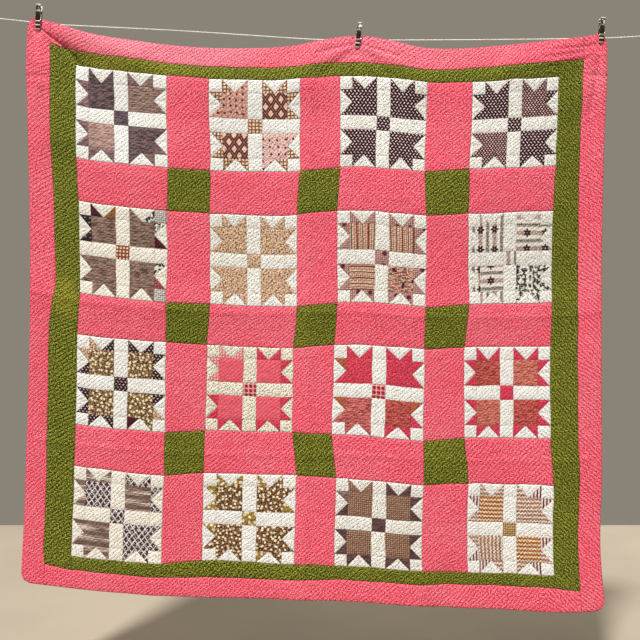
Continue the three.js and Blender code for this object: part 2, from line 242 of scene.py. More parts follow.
# The blocks: how far each one is from its even place and size, and its cottons. Palms and claws are
# given by paw: upper left, upper right, lower left, lower right. Where a paw's claws differ, they are
# the outer and inner one of its end, then the outer and inner one of its side. Corners are the squares
# at the block's corners, where they differ from its ground.
BLOCKS = (
    dict(row=0, column=0, right=3, down=3, wider=7, taller=10, ground="shirting_plain",
         palms=("plum", "taupe", "rose_taupe", "plum"),
         claws=(("plum", "plum", "mauve", "mauve"), ("taupe", "mauve", "taupe", "taupe"), "mauve",
                ("mauve", "plum") * 2), centre="charcoal"),
    dict(row=0, column=1, right=12, down=2, wider=4, taller=5, ground="shirting_plain",
         palms=("rose_floral", "maroon_lattice", "maroon_lattice", "pink_dots"),
         claws=(("gold_print", "rose_floral") * 2, "gold_print", "gold_print",
                ("gold_print", "pink_dots") * 2), centre="gold_check"),
    dict(row=0, column=2, right=4, down=-2, wider=-8, taller=-3, ground="shirting",
         palms=("black_leaf",) * 4, claws=("black_leaf",) * 4, centre="black_leaf"),
    dict(row=0, column=3, right=6, down=-7, wider=-8, taller=-9, ground="shirting",
         palms=("black_leaf", "rose_fleck", "rose_fleck", "black_leaf"),
         claws=("black_leaf", ("rose_fleck", "rose_fleck", "black_leaf", "rose_fleck"), "rose_fleck",
                "black_leaf"), centre="black_leaf"),
    dict(row=1, column=0, right=4, down=9, wider=-3, taller=4, ground="shirting_cream",
         palms=("mauve_streak",) * 4,
         corners=("shirting_cream", "grey_check") * 2,
         claws=(("burgundy", "rust_print", "black_dots", "black_dots"),
                ("grey_floral", "mauve_streak", "grey_floral", "burgundy"), "mauve_streak",
                ("mauve_streak", "mauve_streak", "red_dots", "grey_floral")), centre="orange_check"),
    dict(row=1, column=1, right=6, down=9, wider=-3, taller=4, ground="shirting",
         palms=("camel",) * 4, claws=("camel",) * 4, centre="camel"),
    dict(row=1, column=2, right=3, down=2, wider=3, taller=2, ground="shirting",
         palms=("tan_stripe_down", "tan_stripe_down", "tan_stripe_across", "paisley_brown"),
         claws=("mauve_rosette",) * 4, centre="mauve_rosette"),
    dict(row=1, column=3, right=3, down=-10, wider=-12, taller=-2, ground="shirting",
         palms=("grey_stripe_down", "grey_stripe_across", "grey_stripe_across", "grey_floral"),
         claws=("grey_stripe_down", "grey_stripe_across", "grey_stripe_down", "grey_floral"),
         centre="grey_stripe_down"),
    dict(row=2, column=0, right=0, down=9, wider=3, taller=1, ground="shirting_plain",
         palms=("olive_dots",) * 4,
         claws=(("camel", "plum_leaf") * 2, "plum_leaf", "plum_leaf",
                ("olive_dots", "burgundy", "camel", "plum_leaf")), centre="plum_leaf"),
    dict(row=2, column=1, right=-4, down=1, wider=-3, taller=-14, ground="shirting_olive",
         palms=("coral",) * 4, claws=("pale_check", "crimson_rose", "crimson_rose", "crimson_rose"),
         centre="red_plaid"),
    dict(row=2, column=2, right=-5, down=3, wider=9, taller=2, ground="shirting_plain",
         palms=("crimson", "crimson_rose", "brick_rose", "brick"),
         claws=(("crimson", "crimson", "rust", "crimson"), "crimson_rose",
                ("brick_rose", "brick_rose", "brick_rose", "rust"),
                ("crimson_rose", "crimson_rose", "crimson_rose", "rust")), centre="red_plaid"),
    dict(row=2, column=3, right=-3, down=-10, wider=-3, taller=2, ground="shirting_plain",
         palms=("brick", "terracotta", "terracotta", "brick"), claws=("crimson_rose",) * 4,
         centre="bright_crimson"),
    dict(row=3, column=0, right=0, down=8, wider=2, taller=-2, ground="shirting_cream",
         palms=("plum_scroll", "taupe_bands", "taupe_bands", "plum_scroll"),
         claws=("taupe_bands", "plum_scroll", "taupe_bands", "plum_scroll"), centre="plum_scroll"),
    dict(row=3, column=1, right=3, down=-5, wider=14, taller=-2, ground="shirting_plain",
         palms=("brown_dots",) * 4,
         claws=("olive_floral", ("brown_dots", "olive_floral") * 2,
                ("brown_dots", "brown_dots", "brown_dots", "olive_floral"),
                ("brown_dots", "olive_floral", "brown_dots", "brown_dots")), centre="olive_floral"),
    dict(row=3, column=2, right=3, down=3, wider=-4, taller=-10, ground="shirting",
         palms=("brown_check_fine",) * 4,
         claws=(("brown_check_fine", "brown_check_fine", "mauve", "plum_deep"), "plum_deep", "plum_deep",
                "plum_deep"), centre="plum_deep"),
    dict(row=3, column=3, right=8, down=-1, wider=-7, taller=-2, ground="shirting_plain",
         palms=("gold_wave", "mauve_bands_across", "mauve_bands_down", "gold_wave"),
         claws=(("mauve_bands_across", "mauve_bands_across", "plum_stripe", "mauve_bands_across"),
                ("plum_stripe", "mauve_bands_across") * 2, ("plum_stripe", "mauve_bands_across") * 2,
                ("plum_stripe", "mauve_bands_across", "mauve_bands_across", "plum_stripe")),
         centre="tan_check"),
)
# How far the seam between the pink and the green border is from its even place, by block row
# for the sides and by block column for the ends.
BORDER_SEAMS = (
    dict(left=3, right=-5, top=0, bottom=6),
    dict(left=8, right=-3, top=3, bottom=2),
    dict(left=-12, right=-1, top=4, bottom=-3),
    dict(left=-7, right=1, top=-1, bottom=-9),
)
SEAM_WOBBLE = ((190, 2.6), (46, 1.5))

# Where the plain cottons are made paler: the place, its reach across and down, and how much.
# Along the top border this is painted highlight, where the top leans back towards the light; the
# green patch down the left side is a faded patch.
PINK_LIT_PATCHES = (
    dict(across=420, down=10, wide=420, tall=85, amount=0.85),
    dict(across=1150, down=10, wide=420, tall=80, amount=0.45),
)
GREEN_FADES_AND_LIT_PATCHES = (
    dict(across=105, down=800, wide=60, tall=80, amount=0.9),
    dict(across=340, down=85, wide=260, tall=60, amount=0.6),
)

# Cottons: a ground, then prints over it as (print, colour, size, size), in millimetres.
COTTONS = {
    "shirting": ("#F7F5EF", (("flecks", "#3F463D", 8, 2.4),)),
    "shirting_plain": ("#F9F8F5", (("flecks", "#8E948A", 9, 2.1),)),
    "shirting_cream": ("#F8F4E9", (("flecks", "#A67E69", 9, 2.1),)),
    "shirting_olive": ("#F5EFDF", (("flecks", "#4F5B2A", 8, 2.9),)),
    "plum": ("#7C6567", (("streak", "#42343A", 24, 4),)),
    "plum_deep": ("#6F4E50", (("streak", "#46302F", 24, 4),)),
    "mauve": ("#98797A", (("streak", "#664E50", 24, 4),)),
    "taupe": ("#AE9086", (("streak", "#6E5850", 24, 4),)),
    "rose_taupe": ("#C6A29A", (("streak", "#97766F", 24, 4),)),
    "charcoal": ("#75636A", (("streak", "#41353B", 24, 4),)),
    "rose_floral": ("#EDC0B0", (("mottle", "#B4655A", 6, 0.5), ("dots", "#4A1C22", 19, 7))),
    "maroon_lattice": ("#F7D0B8", (("lattice", "#50101A", 31, 0.45), ("lattice", "#C58A7C", 31, 0.06))),
    "pink_dots": ("#F0CCC4", (("flecks", "#BE6E70", 7, 3.6), ("dots", "#481A22", 22, 7))),
    "gold_print": ("#F1DFC0", (("check", "#8E5236", 10.5, 0.36), ("flecks", "#5E1F2A", 9, 3))),
    "gold_check": ("#F3DDBC", (("check", "#8F5334", 10.5, 0.38),)),
    "black_leaf": ("#270A17", (("leaves", "#F2D4D4", 11.5, 3.3),)),
    "plum_leaf": ("#2C1219", (("leaves", "#DCC4BE", 11.5, 3.0),)),
    "rose_fleck": ("#3E1420", (("leaves", "#F0CCC6", 9.4, 3.1),)),
    "mauve_streak": ("#A08476", (("streak", "#5E4840", 26, 4),)),
    "burgundy": ("#480F1E", (("flecks", "#7A3A44", 7, 1.6),)),
    "red_dots": ("#94434A", (("dots", "#DDB1AA", 9, 2.6),)),
    "rust_print": ("#A5702F", (("mottle", "#6E4520", 5, 0.5),)),
    "black_dots": ("#2A1F23", (("dots", "#DACDC4", 14, 3),)),
    "orange_check": ("#F6E6CF", (("check", "#94462A", 10.5, 0.5),)),
    "camel": ("#DCB898", (("clumps", "#74452A", 5, 0.54), ("flecks", "#C58A56", 8, 3.6),
                          ("flecks", "#F6E8D4", 7, 3))),
    "tan_stripe_down": ("#EED8BC", (("check", "#B4685C", 6.5, 0.42),
                                    ("stripe_down", "#E8CFB4", 34, 0.22),
                                    ("stripe_down", "#4E3E28", 17, 0.22))),
    "tan_stripe_across": ("#EED8BC", (("check", "#B4685C", 6.5, 0.42),
                                      ("stripe_across", "#E8CFB4", 34, 0.22),
                                      ("stripe_across", "#4E3E28", 17, 0.22))),
    "paisley_brown": ("#D2A690", (("streak", "#6E4038", 20, 5), ("flecks", "#F0DCCA", 9, 3),
                                  ("blossoms", "#4A1A20", 44, 13), ("arcs", "#BC322E", 58, 20),
                                  ("arc_cores", "#F2C6AC", 58, 20))),
    "mauve_rosette": ("#DDBFB2", (("check", "#965E5C", 6, 0.44), ("dots", "#661A24", 40, 14))),
    "grey_stripe_down": ("#F3EDE1", (("stripe_down", "#A98E8A", 46, 0.28),
                                     ("between_down", "#6E6666", 46, 0.22),
                                     ("flecks", "#F3EDE1", 5.5, 2.6),
                                     ("garland_down", "#331620", 46, 27))),
    "grey_stripe_across": ("#F3EDE1", (("stripe_across", "#A98E8A", 46, 0.28),
                                       ("between_across", "#6E6666", 46, 0.22),
                                       ("flecks", "#F3EDE1", 5.5, 2.6),
                                       ("garland_across", "#331620", 46, 27))),
    "grey_floral": ("#F0EBE0", (("clumps", "#23282C", 11, 0.49), ("flecks", "#E6E2DA", 6.5, 2.4))),
    "grey_check": ("#EFE9DE", (("check", "#8E8C88", 6.5, 0.36),)),
    "olive_dots": ("#7E5C3C", (("mottle", "#452F1C", 7, 0.5), ("flecks", "#D6B684", 6.5, 3),
                               ("blossoms", "#FBEAC6", 13, 7))),
    "coral": ("#F46A7A", (("mottle", "#E45A6A", 6, 0.5),)),
    "pale_check": ("#F6D6D0", (("check", "#E07880", 9, 0.42),)),
    "crimson": ("#E94A62", (("mottle", "#B8203C", 5, 0.5), ("flecks", "#F0A0AA", 8, 1.6))),
    "crimson_rose": ("#E54560", (("mottle", "#BA2242", 5, 0.5), ("flecks", "#F0A0AA", 8, 1.6))),
    "bright_crimson": ("#E44462", (("mottle", "#CE3453", 6, 0.5),)),
    "brick_rose": ("#D97674", (("streak", "#9E3C3E", 20, 4), ("flecks", "#EDB4AC", 8, 1.8))),
    "brick": ("#D2605A", (("streak", "#94302C", 20, 4), ("flecks", "#E8A096", 8, 1.8))),
    "terracotta": ("#DF8272", (("streak", "#A84A40", 20, 4), ("flecks", "#EDB8AA", 8, 1.8))),
    "rust": ("#C46A48", (("mottle", "#A04C30", 6, 0.5),)),
    "red_plaid": ("#EDA9AA", (("squares", "#A8142E", 14, 0.72),)),
    "plum_scroll": ("#432D39", (("lattice", "#F3EBE7", 18, 0.17), ("flecks", "#EFE6E2", 8, 2.9))),
    "taupe_bands": ("#C6ACA0", (("stripe_across", "#836860", 30, 0.4),
                                ("between_across", "#E6D8CE", 30, 0.26), ("streak", "#6A524A", 70, 3))),
    "brown_dots": ("#704A30", (("mottle", "#3E2616", 7, 0.5), ("flecks", "#C8A26C", 6.5, 3),
                               ("blossoms", "#FCECCA", 13, 6.8))),
    "olive_floral": ("#B8974A", (("mottle", "#6F541F", 7, 0.5), ("blossoms", "#FBF0D4", 15, 8.5))),
    "brown_check_fine": ("#C29C82", (("check", "#6E4E3E", 6.5, 0.42),)),
    "gold_wave": ("#B66E2C", (("flecks", "#74381A", 6.5, 3.4), ("wave", "#F5E8D0", 12, 0.34))),
    "mauve_bands_across": ("#AE8470", (("flecks", "#6B3C40", 7.5, 3.4), ("wave", "#F3E7D6", 12, 0.36))),
    "mauve_bands_down": ("#AE8470", (("flecks", "#6B3C40", 7.5, 3.4), ("wave_down", "#F3E7D6", 12, 0.36))),
    "plum_stripe": ("#F2DCD4", (("stripe_down", "#571F32", 10, 0.46),)),
    "tan_check": ("#E2C08C", (("check", "#86602E", 7, 0.4),)),
}


def linear(hex_colour):
    """Scene-linear colour of a #RRGGBB one."""
    parts = [int(hex_colour[i:i + 2], 16) / 255 for i in (1, 3, 5)]
    return tuple(p / 12.92 if p <= 0.04045 else ((p + 0.055) / 1.055) ** 2.4 for p in parts)


def colour_setting(name, description, hex_colour):
    return FloatVectorProperty(name=name, description=description, subtype="COLOR", size=3,
                               default=linear(hex_colour), min=0, max=1)


def length_setting(name, description, default, least, most):
    """A length setting, given in millimetres."""
    return FloatProperty(name=name, description=description, subtype="DISTANCE", unit="LENGTH",
                         default=default * MM, min=least * MM, max=most * MM)


class QuiltSettings(bpy.types.PropertyGroup):
    """Sizes and colours of the cloth."""
    pink: colour_setting("Pink cotton", "Sashes and outer border", "#FC4C6C")
    # The faded colours serve both the rubbed wear and the painted highlight along the top border.
    pink_faded_and_lit: colour_setting("Faded pink", "Pink where it is rubbed pale", "#FA8498")
    green: colour_setting("Green cotton", "Corner squares and inner border", "#435100")
    green_faded_and_lit: colour_setting("Faded green", "Green where it is rubbed pale", "#7C7A1A")
    backing: colour_setting("Backing", "Muslin on the back", "#E9DFCB")
    puff: length_setting("Puff", "How far a patch stands up between its seams", 1.3, 0, 3)
    ridge: length_setting("Quilting ridge", "Height of the ridges between quilting lines", 0.65, 0, 3)
    pitch: length_setting("Quilting pitch", "Distance between two quilting lines", 9.6, 4, 40)


class PegSettings(bpy.types.PropertyGroup):
    """Finish of the pegs and the line."""
    wood: colour_setting("Weathered wood", "Main colour of the pegs", "#331E17")
    # The worn colour serves both the worn ends of the pegs and their painted highlight bands.
    wood_worn_and_lit: colour_setting("Worn wood", "Ends and rubbed bands of the pegs", "#E4DBCB")
    wire: colour_setting("Spring wire", "Colour of the springs", "#D2CEC6")
    cord: colour_setting("Line", "Colour of the clothes line", "#F1EEE4")
    edge: length_setting("Peg edge", "Rounding of the pegs' edges", 0.7, 0, 2)


def noise(x, y, seed):
    """Smooth noise from -1 to 1 over a plane, about one lump to a unit."""
    table = np.random.RandomState(seed).uniform(-1, 1, (NOISE_CELLS, NOISE_CELLS))
    column = np.floor(x).astype(int)
    row = np.floor(y).astype(int)
    share_x = x - column
    share_y = y - row
    share_x = share_x * share_x * (3 - 2 * share_x)
    share_y = share_y * share_y * (3 - 2 * share_y)

    def corner(right, down):
        return table[(row + down) % NOISE_CELLS, (column + right) % NOISE_CELLS]

    upper = corner(0, 0) * (1 - share_x) + corner(1, 0) * share_x
    lower = corner(0, 1) * (1 - share_x) + corner(1, 1) * share_x
    return upper * (1 - share_y) + lower * share_y


def smoothstep(value, low, high):
    share = np.clip((value - low) / (high - low), 0, 1)
    return share * share * (3 - 2 * share)


def bell(distance, width):
    return np.exp(-(distance / width) ** 2)


def along(rows, over, column, at):
    """Smooth curve through one named column of a table, over another."""
    places = np.array([row[over] for row in rows], float)
    values = np.array([row[column] for row in rows], float)
    last = len(rows) - 1
    before = np.maximum(np.arange(last + 1) - 1, 0)
    after = np.minimum(np.arange(last + 1) + 1, last)
    slope = (values[after] - values[before]) / (places[after] - places[before])
    i = np.clip(np.searchsorted(places, at) - 1, 0, last - 1)
    span = places[i + 1] - places[i]
    share = (at - places[i]) / span
    rise = share * share * (3 - 2 * share)
    leave = share * (1 - share) ** 2 * span * slope[i]
    arrive = share * share * (share - 1) * span * slope[i + 1]
    return values[i] * (1 - rise) + values[i + 1] * rise + leave + arrive


def fold_height(folds, across, down):
    """How far the folds bring each point of the cloth towards the viewer."""
    total = np.zeros_like(across)
    for one in folds:
        run_across = one["end"][0] - one["start"][0]
        run_down = one["end"][1] - one["start"][1]
        from_across = across - one["start"][0]
        from_down = down - one["start"][1]
        length = run_across ** 2 + run_down ** 2
        share = np.clip((from_across * run_across + from_down * run_down) / length, 0, 1)
        distance = np.hypot(from_across - share * run_across, from_down - share * run_down)
        total += one["forward"] * bell(distance, one["width"])
    return total


def freedom(across, down):
    """The cloth lies flat where a peg's jaws grip it: 0 there, 1 where it is free."""
    below = np.maximum(down - PEG_GRIP_DOWN, 0)
    nearest = np.min([np.hypot(across - peg["across"], below) for peg in PEGS], axis=0)
    return smoothstep(nearest, GRIP_FLAT, GRIP_FREE)


def hung(across, down, raised):
    """Places, in metres, of points of the flat cloth, raised off its back."""
    left = along(SIDE_EDGES, "down", "left", down)
    right = along(SIDE_EDGES, "down", "right", down)
    top = along(HANG_HEIGHTS, "across", "top", across)
    hem = along(HANG_HEIGHTS, "across", "hem", across)
    pull = sum(p["lift"] * bell(across - p["across"], p["reach"]) for p in EDGE_PULLS)
    forward = freedom(across, down) * fold_height(FOLDS + CREASES, across, down)
    share = down / CLOTH_LENGTH
    height = top * (1 - share) + hem * share - HANG_STRETCH * down + pull * np.exp(-down / PULL_DEPTH)
    return MM * np.stack(
        (left + (right - left) * across / CLOTH_WIDTH, CLOTH_BACK_Y - forward - raised, height), axis=-1)


def seam_lattice(border):
    """The long seams across or down the quilt, from edge to edge."""
    lines = [0, border["pink"], border["pink"] + border["green"]]
    for i in range(BLOCKS_A_SIDE):
        lines.append(lines[-1] + BLOCK)
        if i < BLOCKS_A_SIDE - 1:
            lines.append(lines[-1] + SASH)
    lines += [lines[-1] + border["green"], lines[-1] + border["green"] + border["pink"]]
    return np.array(lines, float)


SEAMS_ACROSS = seam_lattice(SIDE_BORDER)
SEAMS_DOWN = seam_lattice(END_BORDER)
FIRST_BLOCK_SEAM = 2


def seam_shifts():
    """How far each crossing of the long seams is moved, across and down."""
    count = len(SEAMS_ACROSS)
    shift = np.zeros((count, count, 2))
    for block in BLOCKS:
        for lower in (0, 1):
            for right in (0, 1):
                i = FIRST_BLOCK_SEAM + 2 * block["row"] + lower
                j = FIRST_BLOCK_SEAM + 2 * block["column"] + right
                shift[i, j] = (block["right"] + (right - 0.5) * block["wider"],
                               block["down"] + (lower - 0.5) * block["taller"])
    inner = slice(FIRST_BLOCK_SEAM, count - FIRST_BLOCK_SEAM)
    by_block = {side: np.repeat([row[side] for row in BORDER_SEAMS], 2) for side in BORDER_SEAMS[0]}
    shift[inner, 1, 0] = by_block["left"]
    shift[inner, count - 2, 0] = by_block["right"]
    shift[1, inner, 1] = by_block["top"]
    shift[count - 2, inner, 1] = by_block["bottom"]
    return shift


SEAM_SHIFTS = seam_shifts()


def hand_sewn(across, down):
    """Moves points of the even pattern to where the hand-sewn seams really run."""
    j = np.clip(np.searchsorted(SEAMS_ACROSS, across) - 1, 0, len(SEAMS_ACROSS) - 2)
    i = np.clip(np.searchsorted(SEAMS_DOWN, down) - 1, 0, len(SEAMS_DOWN) - 2)
    share_x = np.clip((across - SEAMS_ACROSS[j]) / (SEAMS_ACROSS[j + 1] - SEAMS_ACROSS[j]), 0, 1)[..., None]
    share_y = np.clip((down - SEAMS_DOWN[i]) / (SEAMS_DOWN[i + 1] - SEAMS_DOWN[i]), 0, 1)[..., None]
    upper = SEAM_SHIFTS[i, j] * (1 - share_x) + SEAM_SHIFTS[i, j + 1] * share_x
    lower = SEAM_SHIFTS[i + 1, j] * (1 - share_x) + SEAM_SHIFTS[i + 1, j + 1] * share_x
    shift = upper * (1 - share_y) + lower * share_y
    to_edge = np.minimum(np.minimum(across, CLOTH_WIDTH - across), np.minimum(down, CLOTH_LENGTH - down))
    loose = smoothstep(to_edge, 0, SIDE_BORDER["pink"])
    moved_across = across + shift[..., 0]
    moved_down = down + shift[..., 1]
    for seed, (size, amount) in enumerate(SEAM_WOBBLE):
        moved_across = moved_across + amount * loose * noise(across / size, down / size, 2 * seed + 1)
        moved_down = moved_down + amount * loose * noise(across / size, down / size, 2 * seed + 2)
    return moved_across, moved_down


def round_corners(across, down):
    """Draws the quilt's four corners in, so that they are rounded."""
    from_side = np.minimum(across, CLOTH_WIDTH - across)
    from_end = np.minimum(down, CLOTH_LENGTH - down)
    draw = (CORNER_ROUNDING * np.clip(1 - from_side / CORNER_REACH, 0, 1)
            * np.clip(1 - from_end / CORNER_REACH, 0, 1))
    return (across + draw * np.sign(CLOTH_WIDTH / 2 - across),
            down + draw * np.sign(CLOTH_LENGTH / 2 - down))


def fan_distance(across, down):
    """Distance from the middle of the quilting fan that covers each point."""
    up = CLOTH_LENGTH - down
    across = FAN_TURN - np.abs(across - FAN_TURN)
    row = np.floor(up / FAN_ROW)
    distance = np.full_like(across, FAN_RADIUS)
    for deep in range(FAN_ROWS_DEEP):
        fan_row = row - deep
        along_row = FAN_NEAR + np.mod(-across - 0.5 * FAN_STEP * np.mod(fan_row, 2), FAN_STEP)
        reach = np.hypot(along_row, up - fan_row * FAN_ROW)
        distance = np.where(reach < FAN_RADIUS, reach, distance)
    return distance


def relief(settings, across, down, seam_distance):
    """Height of the sewn cloth over its seams: puffed patches, fan ridges and puckers."""
    pitch = settings.pitch / MM
    stand = 1 - np.exp(-np.maximum(seam_distance, 0) / PUFF_REACH)
    ridge = np.abs(np.sin(math.pi * fan_distance(across, down) / pitch))
    pucker = noise(across / PUCKER_SIZE, down / PUCKER_SIZE, 11)
    ridged = MESH_RIDGE_SHARE * settings.ridge / MM * (ridge - RIDGE_MIDDLE)
    height = settings.puff / MM + ridged + PUCKER_HEIGHT * pucker
    return np.maximum(stand * height, LOWEST_RELIEF) * freedom(across, down)


def cloth_piece(name, points, triangles, flat, seam, materials, material_index=None):
    """A smooth mesh from arrays, with its flat pattern and its distance from a seam, in metres."""
    sides = points[triangles]
    area = np.linalg.norm(np.cross(sides[:, 1] - sides[:, 0], sides[:, 2] - sides[:, 0]), axis=1)
    kept = area > 1e-12
    triangles = triangles[kept]
    used, triangles = np.unique(triangles, return_inverse=True)
    triangles = triangles.reshape(-1, 3)
    points = points[used]
    flat = flat[used]
    seam = seam[used]
    mesh = bpy.data.meshes.new(name)
    mesh.vertices.add(len(points))
    mesh.vertices.foreach_set("co", points.astype(np.float32).ravel())
    mesh.loops.add(triangles.size)
    mesh.loops.foreach_set("vertex_index", triangles.astype(np.int32).ravel())
    mesh.polygons.add(len(triangles))
    mesh.polygons.foreach_set("loop_start", np.arange(0, triangles.size, 3, dtype=np.int32))
    mesh.polygons.foreach_set("use_smooth", np.ones(len(triangles), bool))
    for material in materials:
        mesh.materials.append(material)
    if material_index is not None:
        mesh.polygons.foreach_set("material_index", material_index[kept].astype(np.int32))
    layer = mesh.uv_layers.new(name="flat_pattern")
    layer.data.foreach_set("uv", (MM * flat[triangles]).astype(np.float32).ravel())
    from_seam = mesh.attributes.new("from_seam", "FLOAT", "POINT")
    from_seam.data.foreach_set("value", (MM * seam).astype(np.float32))
    mesh.update()
    mesh.validate()
    piece = bpy.data.objects.new(name, mesh)
    bpy.context.collection.objects.link(piece)
    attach(piece, BODY)
    return piece


def edged_lines(lines, start_edge, end_edge):
    """Grid lines with the lines of their finished edges outside them, and how deep each one lies."""
    before = [(lines[0] - out, deep) for out, deep in reversed(start_edge)]
    after = [(lines[-1] + out, deep) for out, deep in end_edge]
    places = np.array([p for p, _ in before] + list(lines) + [p for p, _ in after])
    depths = np.array([d for _, d in before] + [0] * len(lines) + [d for _, d in after])
    return places, depths


def grid_triangles(rows, columns, rising=None):
    """Two triangles to each cell of a grid, facing the viewer, cut on the falling or rising diagonal."""
    index = np.arange(rows * columns).reshape(rows, columns)
    upper_left = index[:-1, :-1].ravel()
    upper_right = index[:-1, 1:].ravel()
    lower_left = index[1:, :-1].ravel()
    lower_right = index[1:, 1:].ravel()
    if rising is None:
        rising = np.indices((rows - 1, columns - 1)).sum(axis=0) % 2 == 0
    rising = rising.ravel()[:, None]
    falling_pair = np.stack((upper_left, lower_left, lower_right, upper_left, lower_right, upper_right), 1)
    rising_pair = np.stack((upper_left, lower_left, upper_right, lower_left, lower_right, upper_right), 1)
    return np.where(rising, rising_pair, falling_pair).reshape(-1, 3)


def even_lines(start, end, cell):
    return np.linspace(start, end, max(1, round((end - start) / cell)) + 1)


def sewn_patch(settings, name, across_lines, down_lines, edges, seam_distance, materials,
               rising=None, material_of=None):
    """A patch of the top, hung, with its edges tucked into the seams or turned to the back."""
    columns, column_depth = edged_lines(across_lines, edges["left"], edges["right"])
    rows, row_depth = edged_lines(down_lines, edges["top"], edges["bottom"])
    across, down = np.meshgrid(columns, rows)
    depth = np.maximum(*np.meshgrid(column_depth, row_depth))
    if rising is not None:
        full = np.zeros((len(rows) - 1, len(columns) - 1), bool)
        top, left = len(edges["top"]), len(edges["left"])
        full[top:top + rising.shape[0], left:left + rising.shape[1]] = rising
        rising = full
    triangles = grid_triangles(len(rows), len(columns), rising)
    index = None
    if material_of is not None:
        index = material_of(across.ravel()[triangles].mean(axis=1), down.ravel()[triangles].mean(axis=1))
    inside_across = np.clip(across, across_lines[0], across_lines[-1])
    inside_down = np.clip(down, down_lines[0], down_lines[-1])
    from_seam = seam_distance(inside_across, inside_down)
    height = relief(settings, inside_across, inside_down, from_seam)
    placed = round_corners(*hand_sewn(across, down))
    points = hung(*placed, CLOTH_THICKNESS + height - depth).reshape(-1, 3)
    flat = np.stack((across, CLOTH_LENGTH - down), axis=-1).reshape(-1, 2)
    return cloth_piece(name, points, triangles, flat, from_seam.ravel(), materials, index)


def strip_patch(settings, name, left, right, top, bottom, material, turned=()):
    """A plain strip or square, with the named edges turned over the quilt's rim."""
    edges = {side: TURNED_HEM if side in turned else SEAM_TUCK
             for side in ("left", "right", "top", "bottom")}

    def seam_distance(across, down):
        return np.minimum(np.minimum(across - left, right - across), np.minimum(down - top, bottom - down))

    across_lines = even_lines(left, right, STRIP_CELL)
    down_lines = even_lines(top, bottom, STRIP_CELL)
    return sewn_patch(settings, name, across_lines, down_lines, edges, seam_distance, [material])


def block_lines(start):
    """Grid lines of a block: the cells of a claw are square, so that its slants follow their diagonals."""
    sizes = [(CLAW, CLAW_CELLS)] * 3 + [(BAR, BAR_CELLS)] + [(CLAW, CLAW_CELLS)] * 3
    lines = [float(start)]
    for size, cells in sizes:
        lines += list(lines[-1] + size * np.arange(1, cells + 1) / cells)
    return np.array(lines)


def paw_places(across, down, block_left, block_top):
    """Place of each point in its paw, from the block's outer corner, and which paw it is in."""
    from_left = across - block_left
    from_top = down - block_top
    right = from_left > BLOCK / 2
    lower = from_top > BLOCK / 2
    x = np.where(right, BLOCK - from_left, from_left)
    y = np.where(lower, BLOCK - from_top, from_top)
    return x, y, right, lower


PATCH_NAMES = ("ground", "palm", "claw", "centre")
CLAWS_A_PAW = 4


def paw_patch(x, y):
    """Which patch of the paw each place is in: 0 ground, 1 palm, 2 claw, 3 the block's centre."""
    bar = CLAW + PALM
    claw_across = (y < CLAW) & (x > CLAW) & (x < bar)
    claw_down = (x < CLAW) & (y > CLAW) & (y < bar)
    step = np.where(claw_across, x - CLAW, y - CLAW) / CLAW
    rise = np.where(claw_across, y, x) / CLAW
    coloured = np.abs(step - 1) > 1 - rise
    patch = np.zeros(x.shape, int)
    patch[(claw_across | claw_down) & coloured] = PATCH_NAMES.index("claw")
    patch[(x > CLAW) & (x < bar) & (y > CLAW) & (y < bar)] = PATCH_NAMES.index("palm")
    patch[(x > bar) & (y > bar)] = PATCH_NAMES.index("centre")
    return patch


def paw_seam_distance(x, y):
    """Distance to the nearest seam of the paw."""
    bar = CLAW + PALM
    nearest = np.min([np.abs(v - line) for v in (x, y) for line in (0, CLAW, bar)], axis=0)
    for along_side, from_edge in ((x, y), (y, x)):
        step = along_side - CLAW
        slant = np.minimum(np.abs(step - from_edge), np.abs(2 * CLAW - step - from_edge)) / math.sqrt(2)
        claw = np.minimum(slant, np.abs(step - CLAW))
        in_claw = (from_edge < CLAW) & (along_side > CLAW) & (along_side < bar)
        nearest = np.where(in_claw, np.minimum(nearest, claw), nearest)
    return nearest


def paw_block(settings, block):
    """One bear paw block: four paws, white bars between them, and a centre square."""
    left = SEAMS_ACROSS[FIRST_BLOCK_SEAM + 2 * block["column"]]
    top = SEAMS_DOWN[FIRST_BLOCK_SEAM + 2 * block["row"]]
    claws = []
    for paw in block["claws"]:
        claws += [paw] * CLAWS_A_PAW if isinstance(paw, str) else paw
    corners = block.get("corners", (block["ground"],) * 4)
    names = [block["ground"], *block["palms"], *claws, *corners, block["centre"]]
    first_palm = 1
    first_claw = first_palm + len(block["palms"])
    first_corner = first_claw + len(claws)
    cottons = sorted(set(names))
    across_lines = block_lines(left)
    down_lines = block_lines(top)

    def material_of(across, down):
        x, y, right, lower = paw_places(across, down, left, top)
        patch = paw_patch(x, y)
        paw = right + 2 * lower
        claw = np.where(y < CLAW, x > 2 * CLAW, 2 + (y > 2 * CLAW))
        corner = (x < CLAW) & (y < CLAW)
        ground, palm, in_claw, _ = (patch == i for i in range(len(PATCH_NAMES)))
        slot = np.select([corner, ground, palm, in_claw],
                         [first_corner + paw, 0, first_palm + paw, first_claw + CLAWS_A_PAW * paw + claw],
                         len(names) - 1)
        return np.array([cottons.index(name) for name in names])[slot]

    def seam_distance(across, down):
        x, y, _, _ = paw_places(across, down, left, top)
        return paw_seam_distance(x, y)

    middle_across, middle_down = np.meshgrid(
        (across_lines[:-1] + across_lines[1:]) / 2, (down_lines[:-1] + down_lines[1:]) / 2)
    x, y, right, lower = paw_places(middle_across, middle_down, left, top)
    second = np.where(y < CLAW, x > 2 * CLAW, y > 2 * CLAW)
    rising = second ^ right ^ lower
    edges = dict.fromkeys(("left", "right", "top", "bottom"), SEAM_TUCK)
    name = f"block_{block['row'] + 1}_{block['column'] + 1}"
    return sewn_patch(settings, name, across_lines, down_lines, edges, seam_distance,
                      [printed_cotton(settings, cotton) for cotton in cottons], rising, material_of)


